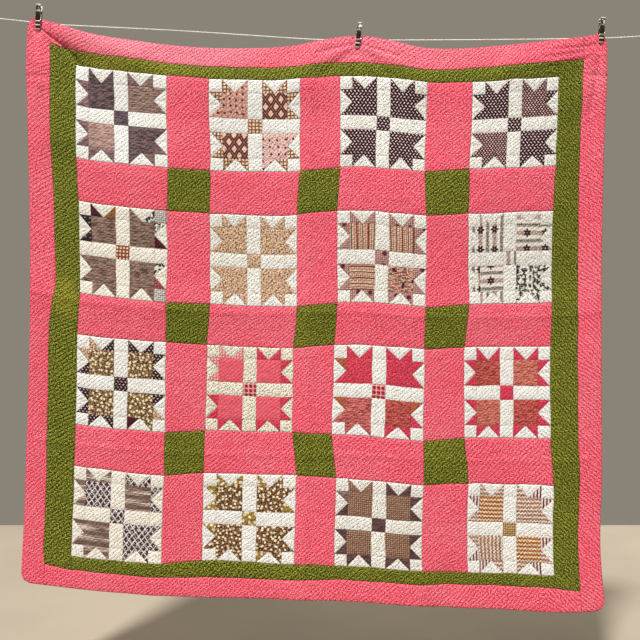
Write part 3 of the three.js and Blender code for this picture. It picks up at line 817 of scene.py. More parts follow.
class Finish:
    """A material under construction, with short calls for the nodes that it needs."""

    def __init__(self, name):
        self.material = bpy.data.materials.new(name)
        self.material.use_nodes = True
        self.nodes = self.material.node_tree.nodes
        self.links = self.material.node_tree.links
        self.shader = self.nodes["Principled BSDF"]

    def put(self, socket, value):
        if isinstance(value, bpy.types.NodeSocket):
            self.links.new(value, socket)
        else:
            socket.default_value = value

    def node(self, kind, **settings):
        made = self.nodes.new(kind)
        for key, value in settings.items():
            setattr(made, key, value)
        return made

    def math(self, operation, first, second=0.0):
        made = self.node("ShaderNodeMath", operation=operation)
        self.put(made.inputs[0], first)
        self.put(made.inputs[1], second)
        return made.outputs[0]

    def blend(self, share, first, second, blend_type="MIX"):
        made = self.node("ShaderNodeMix", data_type="RGBA", blend_type=blend_type)
        self.put(made.inputs[0], share)
        self.put(made.inputs[6], first if isinstance(first, bpy.types.NodeSocket) else (*first, 1))
        self.put(made.inputs[7], second if isinstance(second, bpy.types.NodeSocket) else (*second, 1))
        return made.outputs[2]

    def range(self, value, low, high, to_low=0.0, to_high=1.0):
        made = self.node("ShaderNodeMapRange", interpolation_type="SMOOTHSTEP")
        for i, given in enumerate((value, low, high, to_low, to_high)):
            self.put(made.inputs[i], given)
        return made.outputs[0]

    def noise(self, vector, size, detail=2.0, stretch=(1, 1, 1)):
        """Noise with lumps of a size in millimetres, on a vector in metres."""
        spread = self.node("ShaderNodeMapping")
        spread.inputs["Scale"].default_value = stretch
        self.put(spread.inputs["Vector"], vector)
        made = self.node("ShaderNodeTexNoise")
        self.put(made.inputs["Vector"], spread.outputs[0])
        made.inputs["Scale"].default_value = 1 / (size * MM)
        made.inputs["Detail"].default_value = detail
        return made.outputs["Fac"]

    def cells(self, vector, spacing, uneven):
        """Distance to the nearest of scattered points, in spacings."""
        made = self.node("ShaderNodeTexVoronoi", voronoi_dimensions="2D")
        self.put(made.inputs["Vector"], vector)
        made.inputs["Scale"].default_value = 1 / (spacing * MM)
        made.inputs["Randomness"].default_value = uneven
        return made.outputs["Distance"]

    def flat_pattern(self):
        return self.node("ShaderNodeUVMap", uv_map="flat_pattern").outputs[0]

    def parts(self, vector):
        made = self.node("ShaderNodeSeparateXYZ")
        self.put(made.inputs[0], vector)
        return made.outputs

    def bump(self, height):
        """Bump from a height in metres."""
        made = self.node("ShaderNodeBump")
        made.inputs["Strength"].default_value = 1
        made.inputs["Distance"].default_value = 1
        self.put(made.inputs["Height"], height)
        self.put(self.shader.inputs["Normal"], made.outputs[0])


def bands(finish, place, pitch, share):
    """Soft-edged bands along a place in metres: 1 on a band."""
    turn = finish.math("PINGPONG", finish.math("DIVIDE", place, pitch * MM), 0.5)
    return finish.range(turn, share / 2 - 0.05, share / 2 + 0.05, 1.0, 0.0)


LATTICE_TALL = 1.35
LEAF_ROW = 0.72
LEAF_SLIMNESS = 2.2


def leaf_mask(finish, across, up, spacing, width):
    """Small leaves in a herringbone, whose rows lean left and right by turns."""
    row = finish.math("FLOOR", finish.math("DIVIDE", up, LEAF_ROW * spacing * MM))
    odd_row = finish.math("FLOORED_MODULO", row, 2.0)
    half_step = finish.math("MULTIPLY", odd_row, 0.5)
    cell_across = finish.math("ADD", finish.math("DIVIDE", across, spacing * MM), half_step)
    row_start = finish.math("MULTIPLY", row, LEAF_ROW)
    cell_up = finish.math("SUBTRACT", finish.math("DIVIDE", up, spacing * MM), row_start)
    lean = finish.math("SUBTRACT", 1.0, finish.math("MULTIPLY", odd_row, 2.0))
    x = finish.math("SUBTRACT", finish.math("FRACT", cell_across), 0.5)
    y = finish.math("MULTIPLY", finish.math("SUBTRACT", cell_up, LEAF_ROW / 2), lean)
    half_width = width / 2 / spacing * math.sqrt(2)
    half_length = LEAF_SLIMNESS * half_width
    long = finish.math("POWER", finish.math("DIVIDE", finish.math("ADD", x, y), half_length), 2.0)
    wide = finish.math("POWER", finish.math("DIVIDE", finish.math("SUBTRACT", x, y), half_width), 2.0)
    return finish.range(finish.math("ADD", long, wide), 0.7, 1.3, 1.0, 0.0)


def print_mask(finish, flat, kind, size, amount):
    """Where a print lies on the flat cloth: 1 on the print."""
    parts = finish.parts(flat)
    across, up = parts[0], parts[1]
    if kind in ("flecks", "dots", "blossoms"):
        distance = finish.cells(flat, size, {"flecks": 0.9, "dots": 0.2, "blossoms": 0.9}[kind])
        if kind == "blossoms":
            ragged = finish.math("SUBTRACT", finish.noise(flat, size / 3), 0.5)
            distance = finish.math("ADD", distance, finish.math("MULTIPLY", ragged, 0.5))
        radius = amount / 2 / size
        return finish.range(distance, radius * 0.8, radius * 1.2, 1.0, 0.0)
    if kind in ("arcs", "arc_cores"):
        distance = finish.cells(flat, size, 0.35)
        off_ring = finish.math("ABSOLUTE", finish.math("SUBTRACT", distance, amount / size))
        broken = finish.range(finish.noise(flat, 0.45 * size), 0.48, 0.54)
        half = 0.075 if kind == "arcs" else 0.03
        return finish.math("MULTIPLY", broken, finish.range(off_ring, half - 0.015, half + 0.015, 1.0, 0.0))
    if kind == "clumps":
        return finish.range(finish.noise(flat, size, 1.0), amount - 0.03, amount + 0.03)
    if kind in ("garland_down", "garland_across"):
        over, run = (across, up) if kind == "garland_down" else (up, across)
        aside = finish.math("PINGPONG", over, 0.5 * size * MM)
        apart = finish.math("PINGPONG", run, 0.64 * size * MM)
        square = finish.math("ADD", finish.math("POWER", aside, 2.0), finish.math("POWER", apart, 2.0))
        distance = finish.math("DIVIDE", finish.math("SQRT", square), amount / 2 * MM)
        angle = finish.math("MULTIPLY", finish.math("ARCTAN2", apart, aside), 6.0)
        petals = finish.math("ADD", finish.math("MULTIPLY", finish.math("COSINE", angle), 0.22), 0.78)
        outside = finish.math("SUBTRACT", distance, petals)
        flower = finish.range(outside, -0.06, 0.06, 1.0, 0.0)
        return finish.math("MULTIPLY", flower, finish.range(distance, 0.1, 0.2))
    if kind in ("between_down", "between_across"):
        place = finish.math("ADD", across if kind == "between_down" else up, 0.5 * size * MM)
        return bands(finish, place, size, amount)
    if kind == "leaves":
        return leaf_mask(finish, across, up, size, amount)
    if kind == "mottle":
        return finish.range(finish.noise(flat, size), amount - 0.12, amount + 0.16)
    if kind == "streak":
        streaks = finish.noise(flat, amount, 2.0, (amount / size, 1, 1))
        return finish.range(streaks, 0.42, 0.6)
    if kind == "check":
        return finish.math("MAXIMUM", bands(finish, across, size, amount), bands(finish, up, size, amount))
    if kind == "squares":
        return finish.math("MULTIPLY", bands(finish, across, size, amount), bands(finish, up, size, amount))
    if kind == "lattice":
        squat = finish.math("DIVIDE", up, LATTICE_TALL)
        rising = bands(finish, finish.math("ADD", across, squat), size, amount)
        falling = bands(finish, finish.math("SUBTRACT", across, squat), size, amount)
        return finish.math("MAXIMUM", rising, falling)
    if kind == "stripe_down":
        return bands(finish, across, size, amount)
    if kind == "stripe_across":
        return bands(finish, up, size, amount)
    if kind in ("wave", "wave_down"):
        run, rise = (across, up) if kind == "wave" else (up, across)
        sway = finish.math("SINE", finish.math("MULTIPLY", run, 2 * math.pi / (0.8 * size * MM)))
        shift = finish.math("MULTIPLY", sway, 0.16 * size * MM)
        return bands(finish, finish.math("ADD", rise, shift), size, amount)
    raise ValueError(f"no print called {kind}")


def fan_quilting_group(pitch):
    """Node group: ridges between the fan quilting lines, and the stitches along them."""
    group = bpy.data.node_groups.get("fan_quilting")
    if group:
        return group
    group = bpy.data.node_groups.new("fan_quilting", "ShaderNodeTree")
    group.interface.new_socket("Flat", in_out="INPUT", socket_type="NodeSocketVector")
    group.interface.new_socket("Ridge", in_out="OUTPUT", socket_type="NodeSocketFloat")
    group.interface.new_socket("Stitch", in_out="OUTPUT", socket_type="NodeSocketFloat")
    nodes, links = group.nodes, group.links
    start = nodes.new("NodeGroupInput")
    end = nodes.new("NodeGroupOutput")
    radius = FAN_RADIUS * MM
    row_height = FAN_ROW * MM

    def calc(operation, first, second=0.0):
        made = nodes.new("ShaderNodeMath")
        made.operation = operation
        for socket, value in zip(made.inputs, (first, second)):
            if isinstance(value, bpy.types.NodeSocket):
                links.new(value, socket)
            else:
                socket.default_value = value
        return made.outputs[0]

    parts = nodes.new("ShaderNodeSeparateXYZ")
    links.new(start.outputs[0], parts.inputs[0])
    up = parts.outputs[1]
    from_turn = calc("ABSOLUTE", calc("SUBTRACT", parts.outputs[0], FAN_TURN * MM))
    across = calc("SUBTRACT", FAN_TURN * MM, from_turn)
    row = calc("FLOOR", calc("DIVIDE", up, row_height))
    distance, turn = None, None
    for deep in range(FAN_ROWS_DEEP):
        fan_row = calc("SUBTRACT", row, float(deep))
        shift = calc("MULTIPLY", calc("FLOORED_MODULO", fan_row, 2.0), 0.5 * FAN_STEP * MM)
        mirrored = calc("SUBTRACT", calc("MULTIPLY", across, -1.0), shift)
        along_row = calc("ADD", calc("FLOORED_MODULO", mirrored, FAN_STEP * MM), FAN_NEAR * MM)
        above = calc("SUBTRACT", up, calc("MULTIPLY", fan_row, row_height))
        squares = calc("ADD", calc("MULTIPLY", along_row, along_row), calc("MULTIPLY", above, above))
        reach = calc("SQRT", squares)
        angle = calc("MULTIPLY", calc("ARCTAN2", above, along_row), reach)
        if distance is None:
            distance, turn = reach, angle
            continue
        covers = calc("LESS_THAN", reach, radius)
        outside = calc("SUBTRACT", 1.0, covers)
        distance = calc("ADD", calc("MULTIPLY", reach, covers), calc("MULTIPLY", distance, outside))
        turn = calc("ADD", calc("MULTIPLY", angle, covers), calc("MULTIPLY", turn, outside))
    lines = calc("DIVIDE", distance, pitch)
    ridge = calc("ABSOLUTE", calc("SINE", calc("MULTIPLY", lines, math.pi)))
    on_line = calc("LESS_THAN", ridge, STITCH_LINE_SHARE)
    dash = calc("LESS_THAN", calc("FRACT", calc("DIVIDE", turn, STITCH_LENGTH * MM)), STITCH_SHARE)
    links.new(calc("POWER", ridge, 0.55), end.inputs[0])
    links.new(calc("MULTIPLY", on_line, dash), end.inputs[1])
    return group


def sewn_finish(finish, settings, colour, painted_shade, pale, relief_share):
    """Quilted cotton, puckered and woven: painted shade in its hollows, quilting lines and seams, and a
    painted highlight, partly rubbing wear, on its ridges and pucker tops.
    """
    flat = finish.flat_pattern()
    quilting = finish.node("ShaderNodeGroup", node_tree=fan_quilting_group(settings.pitch))
    finish.put(quilting.inputs[0], flat)
    ridge, stitch = quilting.outputs
    pucker = finish.range(finish.noise(flat, PUCKER_GRAIN, 3.0), 0.36, 0.64)
    cloudy = finish.noise(flat, 90, 3.0)
    seam = finish.node("ShaderNodeAttribute", attribute_name="from_seam").outputs["Fac"]
    stand = finish.math("ADD", finish.math("MULTIPLY", ridge, 0.28), finish.math("MULTIPLY", pucker, 0.72))
    # Painted light: the pale colour is a painted highlight on the ridges and pucker tops (partly rubbing
    # wear), and the shade colour is painted shade in the hollows, along the stitched quilting lines and at
    # the seams.
    colour = finish.blend(finish.range(stand, 0.5, 0.9), colour, pale, "SCREEN")
    colour = finish.blend(finish.range(stand, 0.12, 0.55, 1.0, 0.0), colour, painted_shade, "MULTIPLY")
    colour = finish.blend(finish.math("MULTIPLY", stitch, 0.85), colour, painted_shade, "MULTIPLY")
    colour = finish.blend(finish.range(seam, 0.0, 2.0 * MM, 0.4, 0.0), colour, painted_shade, "MULTIPLY")
    dingy = finish.range(cloudy, 0.35, 0.75, 0.0, 0.25)
    colour = finish.blend(dingy, colour, (0.9, 0.88, 0.85), "MULTIPLY")
    finish.put(finish.shader.inputs["Base Color"], colour)
    finish.put(finish.shader.inputs["Roughness"], finish.range(pucker, 0.0, 1.0, 0.84, 0.97))
    finish.shader.inputs["Sheen Weight"].default_value = 0.03
    finish.shader.inputs["Sheen Roughness"].default_value = 0.6
    finish.shader.inputs["Specular IOR Level"].default_value = 0.15
    across, up, _ = finish.parts(flat)
    thread_turn = 2 * math.pi / (THREAD_PITCH * MM)
    threads = [finish.math("SINE", finish.math("MULTIPLY", place, thread_turn)) for place in (across, up)]
    weave = finish.math("MULTIPLY", finish.math("MULTIPLY", *threads), THREAD_HEIGHT * MM)
    height = finish.math("MULTIPLY", ridge, settings.ridge * relief_share)
    height = finish.math("ADD", height, finish.math("MULTIPLY", pucker, PUCKER_BUMP * relief_share * MM))
    finish.bump(finish.math("ADD", height, weave))
    return finish.material


def printed_cotton(settings, name):
    """One of the printed cottons, made once."""
    known = bpy.data.materials.get(name)
    if known:
        return known
    ground, prints = COTTONS[name]
    finish = Finish(name)
    flat = finish.flat_pattern()
    colour = linear(ground)
    for kind, print_colour, size, amount in prints:
        colour = finish.blend(print_mask(finish, flat, kind, size, amount), colour, linear(print_colour))
    # Painted shade (#B0AAA4) and painted highlight (#1C1A18) of the printed cottons.
    return sewn_finish(finish, settings, colour, linear("#B0AAA4"), linear("#1C1A18"), PRINT_RELIEF_SHARE)


def faded_and_lit_places(finish, flat, fades_and_lit_patches):
    """Soft oval places on the flat cloth, 1 where it is palest: painted highlight on the top border, and
    faded patches.
    """
    across, up, _ = finish.parts(flat)

    def squared(place, middle, reach):
        share = finish.math("DIVIDE", finish.math("SUBTRACT", place, middle * MM), reach * MM)
        return finish.math("POWER", share, 2.0)

    most = 0.0
    for paler_place in fades_and_lit_patches:
        from_across = squared(across, paler_place["across"], paler_place["wide"])
        from_up = squared(up, CLOTH_LENGTH - paler_place["down"], paler_place["tall"])
        square = finish.math("ADD", from_across, from_up)
        most = finish.math("MAXIMUM", most, finish.range(square, 0.1, 1.0, paler_place["amount"], 0.0))
    return most


def plain_cotton(settings, name, colour, faded_and_lit, painted_shade, pale, fades_and_lit_patches=()):
    """Solid-coloured cotton, rubbed pale in soft patches, paler in the given places (painted highlight
    along the top border, a real fade elsewhere), with painted shade and highlight on its relief.
    """
    finish = Finish(name)
    flat = finish.flat_pattern()
    rubbed = finish.math("MULTIPLY", finish.noise(flat, 9, 4.0), finish.noise(flat, 150, 2.0))
    rubbed = finish.range(rubbed, 0.18, 0.42, 0.0, RUBBED_SHARE)
    # Rubbed wear and the painted highlight patches both blend towards the faded colour.
    share = finish.math("MAXIMUM", rubbed, faded_and_lit_places(finish, flat, fades_and_lit_patches))
    base = finish.blend(share, tuple(colour), tuple(faded_and_lit))
    return sewn_finish(finish, settings, base, linear(painted_shade), linear(pale), 1.0)


def deselect():
    if bpy.context.object and bpy.context.object.mode != "OBJECT":
        bpy.ops.object.mode_set(mode="OBJECT")
    bpy.ops.object.select_all(action="DESELECT")


def tube(name, path, radius, sides):
    """A smooth tube along a path in metres, with flat ends."""
    path = np.asarray(path, float)
    tangent = np.gradient(path, axis=0)
    tangent /= np.linalg.norm(tangent, axis=1)[:, None]
    normal = np.cross(tangent[0], (0.0, 1.0, 0.0))
    if np.linalg.norm(normal) < 1e-6:
        normal = np.cross(tangent[0], (1.0, 0.0, 0.0))
    rings = []
    for place, direction in zip(path, tangent):
        normal = normal - direction * np.dot(normal, direction)
        normal /= np.linalg.norm(normal)
        other = np.cross(direction, normal)
        turn = 2 * math.pi * np.arange(sides) / sides
        rings.append(place + radius * (np.cos(turn)[:, None] * normal + np.sin(turn)[:, None] * other))
    points = np.concatenate(rings)
    index = np.arange(len(points)).reshape(len(path), sides)
    here, there = index[:-1], index[1:]
    quads = np.stack((here, np.roll(here, -1, 1), np.roll(there, -1, 1), there), -1).reshape(-1, 4)
    faces = [*quads.tolist(), index[0][::-1].tolist(), index[-1].tolist()]
    mesh = bpy.data.meshes.new(name)
    mesh.from_pydata(points.tolist(), [], faces)
    mesh.update()
    return mesh


def joined_piece(name, meshes, material):
    """One smooth-shaded object from several meshes."""
    joined = bmesh.new()
    for mesh in meshes:
        joined.from_mesh(mesh)
        bpy.data.meshes.remove(mesh)
    bmesh.ops.recalc_face_normals(joined, faces=joined.faces)
    mesh = bpy.data.meshes.new(name)
    joined.to_mesh(mesh)
    joined.free()
    mesh.materials.append(material)
    mesh.polygons.foreach_set("use_smooth", np.ones(len(mesh.polygons), bool))
    piece = bpy.data.objects.new(name, mesh)
    bpy.context.collection.objects.link(piece)
    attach(piece, BODY)
    return piece


def smooth_path(points, steps):
    """Points evenly along a smooth curve through the given ones."""
    points = np.asarray(points, float)
    lengths = np.concatenate(([0], np.cumsum(np.linalg.norm(np.diff(points, axis=0), axis=1))))
    at = np.linspace(0, lengths[-1], steps + 1)
    rows = [dict(at=l, **{f"c{k}": v for k, v in enumerate(p)}) for l, p in zip(lengths, points)]
    return np.stack([along(rows, "at", f"c{k}", at) for k in range(points.shape[1])], axis=-1)


def strands(name, path, radius, lay_length):
    """The strands of a laid cord, twisted round its path."""
    tangent = np.gradient(path, axis=0)
    tangent /= np.linalg.norm(tangent, axis=1)[:, None]
    run = np.concatenate(([0], np.cumsum(np.linalg.norm(np.diff(path, axis=0), axis=1))))
    side = np.cross(tangent, (0.0, 1.0, 0.0))
    side /= np.linalg.norm(side, axis=1)[:, None]
    other = np.cross(tangent, side)
    offset = STRAND_OFFSET * radius
    meshes = []
    for strand in range(STRANDS):
        turn = 2 * math.pi * (run / lay_length + strand / STRANDS)
        middle = path + offset * (np.cos(turn)[:, None] * side + np.sin(turn)[:, None] * other)
        meshes.append(tube(f"{name}_strand_{strand}", middle, radius - offset, STRAND_SIDES))
    return meshes


def cord_finish(settings):
    """White cotton line, grubby in soft patches and darker in fine flecks."""
    finish = Finish("line_cotton")
    place = finish.node("ShaderNodeTexCoord").outputs["Object"]
    fibre = finish.noise(place, 1.1, 3.0)
    grime = finish.noise(place, 45, 3.0)
    grubby = finish.range(grime, 0.45, 0.75, 0.0, 0.5)
    colour = finish.blend(grubby, tuple(settings.cord), linear("#B9B2A2"))
    colour = finish.blend(finish.range(fibre, 0.3, 0.6, 0.35, 0.0), colour, linear("#9C9586"))
    finish.put(finish.shader.inputs["Base Color"], colour)
    finish.put(finish.shader.inputs["Roughness"], finish.range(fibre, 0.2, 0.8, 0.7, 0.92))
    finish.bump(finish.math("MULTIPLY", fibre, 0.25 * MM))
    return finish.material


def wood_finish(settings):
    """Weathered wood: dark and grained, with pale worn ends and two pale bands painted as highlight
    where light catches the groove and the spring wire.
    """
    finish = Finish("peg_wood")
    grain_place = finish.node("ShaderNodeAttribute", attribute_name="peg_place").outputs["Vector"]
    weather_place = finish.node("ShaderNodeTexCoord").outputs["Object"]
    height = finish.parts(grain_place)[2]
    grain = finish.noise(grain_place, 1.3, 4.0, (1, 1, 0.09))
    blotch = finish.noise(grain_place, 9, 3.0)
    colour = finish.blend(finish.range(grain, 0.35, 0.68), linear("#160A07"), tuple(settings.wood))
    colour = finish.blend(finish.range(blotch, 0.55, 0.75, 0.0, 0.5), colour, linear("#6B5A4E"))
    patchy = finish.range(finish.noise(weather_place, 6, 2.0), 0.5, 0.58)
    upper = finish.range(height, (PEG_LENGTH - 30) * MM, (PEG_LENGTH - 12) * MM)
    rim = finish.range(height, (PEG_LENGTH - 3) * MM, (PEG_LENGTH - 1) * MM)
    tip = finish.range(height, 2 * MM, 5 * MM, 0.9, 0.0)
    worn = finish.math("MAXIMUM", finish.math("MULTIPLY", upper, patchy), finish.math("MAXIMUM", rim, tip))
    # Pale bands painted as highlight, where light catches the groove and the spring wire.
    for band in HIGHLIGHT_BANDS:
        off_band = finish.math("ABSOLUTE", finish.math("SUBTRACT", height, band * MM))
        worn = finish.math("MAXIMUM", worn, finish.range(off_band, 1.5 * MM, 2.1 * MM, 1.0, 0.0))
    colour = finish.blend(worn, colour, tuple(settings.wood_worn_and_lit))
    finish.put(finish.shader.inputs["Base Color"], colour)
    finish.put(finish.shader.inputs["Roughness"], finish.range(grain, 0.3, 0.7, 0.72, 0.9))
    finish.shader.inputs["Specular IOR Level"].default_value = 0.2
    finish.bump(finish.math("MULTIPLY", grain, 0.35 * MM))
    return finish.material


def wire_finish(settings):
    """Galvanised spring wire, dulled and a little rusty."""
    finish = Finish("spring_steel")
    place = finish.node("ShaderNodeTexCoord").outputs["Object"]
    dull = finish.noise(place, 2.2, 3.0)
    colour = finish.blend(finish.range(dull, 0.52, 0.68), tuple(settings.wire), linear("#7A4A2E"))
    finish.put(finish.shader.inputs["Base Color"], colour)
    finish.shader.inputs["Metallic"].default_value = 0.85
    finish.put(finish.shader.inputs["Roughness"], finish.range(dull, 0.4, 0.7, 0.35, 0.75))
    finish.bump(finish.math("MULTIPLY", dull, 0.05 * MM))
    return finish.material


class QUILT_OT_camera(bpy.types.Operator):
    """Set the camera square on to the quilt, as it hangs in the photograph"""
    bl_idname = "quilt.camera"
    bl_label = "Camera"

    distance = 2.41
    height = -0.85
    lens = 44.7

    def execute(self, context):
        data = bpy.data.cameras.new("camera")
        data.lens = self.lens
        data.sensor_width = 36
        data.dof.use_dof = False
        camera = bpy.data.objects.new("camera", data)
        camera.location = (0, -self.distance, self.height)
        camera.rotation_euler = (math.pi / 2, 0, 0)
        context.collection.objects.link(camera)
        context.scene.camera = camera
        return {"FINISHED"}


class QUILT_OT_line(bpy.types.Operator):
    """Lay up the clothes line from three strands, with a knotted loop at each end"""
    bl_idname = "quilt.line"
    bl_label = "Clothes line"

    lay_length = 13 * MM
    line_steps = 620

    def execute(self, context):
        settings = context.scene.quilt_pegs
        material = cord_finish(settings)
        route = MM * np.array([(x, 0, z) for x, z in LINE_ROUTE])
        path = smooth_path(route, self.line_steps)
        line = joined_piece("line_cord", strands("line", path, LINE_RADIUS * MM, self.lay_length),
                            material)
        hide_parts("clothes_line")
        for side, end, before in (("left", route[0], route[1]), ("right", route[-1], route[-2])):
            outward = (end - before) / np.linalg.norm(end - before)
            self.loop(f"line_loop_cord_{side}", end, outward, material)
            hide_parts(f"line_loop_{side}")
        return {"FINISHED"}

    def loop(self, name, end, outward, material):
        """A loop that goes over a hook, and the turns that whip its root."""
        up = np.array((-outward[2], 0, outward[0]))
        root = 0.45 * KNOT_LENGTH
        strand = LINE_RADIUS + GAP
        side = np.linspace(1, -1, 29)
        outline = np.stack((root + (LOOP_LENGTH - root) * np.cos(math.pi / 2 * side),
                            LOOP_HALF_WIDTH * np.sin(math.pi * side) + strand * side), axis=-1)
        path = end + MM * (outline[:, :1] * outward + outline[:, 1:] * up)
        meshes = strands(name, smooth_path(path, 150), LINE_RADIUS * MM, self.lay_length)
        turns = 4
        turn = np.linspace(0, 2 * math.pi * turns, 24 * turns + 1)
        reach = KNOT_WIDTH / 2 - LINE_RADIUS * 0.8
        run = GAP + LINE_RADIUS + (KNOT_LENGTH - 2 * LINE_RADIUS) * turn / turn[-1]
        whip = np.stack((run, reach * np.cos(turn), reach * np.sin(turn)), axis=-1)
        whip_path = end + MM * whip @ np.stack((outward, up, (0, 1, 0)))
        meshes.append(tube(f"{name}_whip", whip_path, 0.8 * LINE_RADIUS * MM, 10))
        core = end + MM * np.linspace(GAP, KNOT_LENGTH, 5)[:, None] * outward
        meshes.append(tube(f"{name}_core", core, 1.1 * LINE_RADIUS * MM, 12))
        return joined_piece(name, meshes, material)


class QUILT_OT_pegs(bpy.types.Operator):
    """Finish the three spring pegs: eased wooden legs and wound wire springs"""
    bl_idname = "quilt.pegs"
    bl_label = "Pegs"

    def execute(self, context):
        settings = context.scene.quilt_pegs
        wood = wood_finish(settings)
        wire = wire_finish(settings)
        for peg in PEGS:
            place = (Matrix.Translation(MM * Vector((peg["x"], PEG_MIDDLE_Y, peg["z"])))
                     @ Matrix.Rotation(math.radians(peg["lean"]), 4, "Y")
                     @ Matrix.Translation(MM * Vector((0, 0, -peg["bite"]))))
            for leg in ("front", "back"):
                self.leg(f"{peg['name']}_{leg}", place, wood, settings.edge)
            self.spring(f"{peg['name']}_spring", place, wire)
        return {"FINISHED"}

    def leg(self, node, place, wood, edge):
        """A copy of the leg's solid with its edges eased, and its own place kept for the grain."""
        deselect()
        mesh = bpy.data.objects[node].data.copy()
        leg = bpy.data.objects.new(f"{node}_wood", mesh)
        bpy.context.collection.objects.link(leg)
        leg.select_set(True)
        bpy.context.view_layer.objects.active = leg
        bpy.ops.object.mode_set(mode="EDIT")
        bpy.ops.mesh.select_all(action="SELECT")
        bpy.ops.mesh.remove_doubles(threshold=0.01 * MM)
        bpy.ops.mesh.dissolve_limited(angle_limit=math.radians(2))
        bpy.ops.object.mode_set(mode="OBJECT")
        ease = leg.modifiers.new("eased edges", "BEVEL")
        ease.width = edge
        ease.segments = 2
        ease.limit_method = "ANGLE"
        ease.angle_limit = math.radians(40)
        bpy.ops.object.modifier_apply(modifier=ease.name)
        bpy.ops.object.shade_smooth_by_angle(angle=math.radians(35))
        leg.data.materials.clear()
        leg.data.materials.append(wood)
        inverse = place.inverted()
        grain = leg.data.attributes.new("peg_place", "FLOAT_VECTOR", "POINT")
        own = [value for vertex in leg.data.vertices for value in inverse @ vertex.co]
        grain.data.foreach_set("vector", own)
        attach(leg, BODY)
        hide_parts(node)

    def spring(self, node, place, wire):
        """One wire: across the front leg's groove, round the coil, and across the back leg's."""
        arm = PEG_WIDTH / 2 + GAP + WIRE_RADIUS
        jaw = CLOTH_THICKNESS / 2 + GAP
        face = jaw + LEG_THICKNESS - GROOVE_DEPTH + GAP + WIRE_RADIUS
        drop = COIL_HEIGHT - GROOVE_HEIGHT
        lead = math.atan2(drop, face) + math.pi - math.acos(COIL_RADIUS / math.hypot(face, drop))
        sweep = 2 * math.pi * COIL_TURNS + 2 * lead - math.pi
        to_coil = np.array((0, COIL_RADIUS * math.cos(lead) + face, drop + COIL_RADIUS * math.sin(lead)))
        arm_length = np.linalg.norm(to_coil)

        def on_arm(x, travel):
            return np.array((x, -face, GROOVE_HEIGHT)) + to_coil * travel / arm_length

        bend = [on_arm(arm - WIRE_BEND * (1 - math.sin(t)), WIRE_BEND * (1 - math.cos(t)))
                for t in np.linspace(0, math.pi / 2, 5)]
        straight = [on_arm(arm, arm_length * t) for t in (0.3, 0.55, 0.8)]
        half = [on_arm(-PEG_WIDTH / 2, 0), on_arm(-PEG_WIDTH / 4, 0), on_arm(0, 0),
                on_arm(PEG_WIDTH / 4, 0), *bend, *straight]
        share = np.linspace(0, 1, 24 * COIL_TURNS + 1)
        turn = lead - sweep * share
        coil = np.stack((arm * (1 - 2 * share), COIL_RADIUS * np.cos(turn),
                         COIL_HEIGHT + COIL_RADIUS * np.sin(turn)), axis=-1)
        other = [np.array((-x, -y, z)) for x, y, z in reversed(half)]
        path = smooth_path(np.concatenate((half, coil, other)), 260)
        mesh = tube(f"{node}_tube", MM * path, WIRE_RADIUS * MM, 9)
        mesh.transform(place)
        spring = joined_piece(f"{node}_wire", [mesh], wire)
        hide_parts(node)


class QUILT_OT_patchwork(bpy.types.Operator):
    """Piece the quilt's top: sixteen bear paw blocks, sashes, corner squares and two borders"""
    bl_idname = "quilt.patchwork"
    bl_label = "Patchwork top"

    def execute(self, context):
        settings = context.scene.quilt_cloth
        # After each cotton's colours come its painted shade and its painted highlight.
        pink = plain_cotton(settings, "pink_cotton", settings.pink, settings.pink_faded_and_lit, "#B8708E",
                            "#94807C", PINK_LIT_PATCHES)
        green = plain_cotton(settings, "green_cotton", settings.green, settings.green_faded_and_lit, "#40421C",
                             "#98943A", GREEN_FADES_AND_LIT_PATCHES)
        for block in BLOCKS:
            paw_block(settings, block)
        self.sashes(settings, pink, green)
        self.borders(settings, pink, green)
        return {"FINISHED"}

    def sashes(self, settings, pink, green):
        """Pink strips between the blocks, and green squares where they meet."""
        lanes = range(2 * BLOCKS_A_SIDE - 1)
        for i in lanes:
            for j in lanes:
                if i % 2 == 0 and j % 2 == 0:
                    continue
                left, right = SEAMS_ACROSS[FIRST_BLOCK_SEAM + j:FIRST_BLOCK_SEAM + j + 2]
                top, bottom = SEAMS_DOWN[FIRST_BLOCK_SEAM + i:FIRST_BLOCK_SEAM + i + 2]
                corner = i % 2 == 1 and j % 2 == 1
                name = f"{'corner_square' if corner else 'sash'}_{i + 1}_{j + 1}"
                strip_patch(settings, name, left, right, top, bottom, green if corner else pink)

    def borders(self, settings, pink, green):
        """Green inner border and pink outer one, whose edge is turned to the back as a hem."""
        x = SEAMS_ACROSS
        y = SEAMS_DOWN
        strip_patch(settings, "green_border_left", x[1], x[2], y[1], y[-2], green)
        strip_patch(settings, "green_border_right", x[-3], x[-2], y[1], y[-2], green)
        strip_patch(settings, "green_border_top", x[2], x[-3], y[1], y[2], green)
        strip_patch(settings, "green_border_bottom", x[2], x[-3], y[-3], y[-2], green)
        ends = ("top", "bottom")
        strip_patch(settings, "pink_border_left", x[0], x[1], y[0], y[-1], pink, ("left", *ends))
        strip_patch(settings, "pink_border_right", x[-2], x[-1], y[0], y[-1], pink, ("right", *ends))
        strip_patch(settings, "pink_border_top", x[1], x[-2], y[0], y[1], pink, ("top",))
        strip_patch(settings, "pink_border_bottom", x[1], x[-2], y[-2], y[-1], pink, ("bottom",))


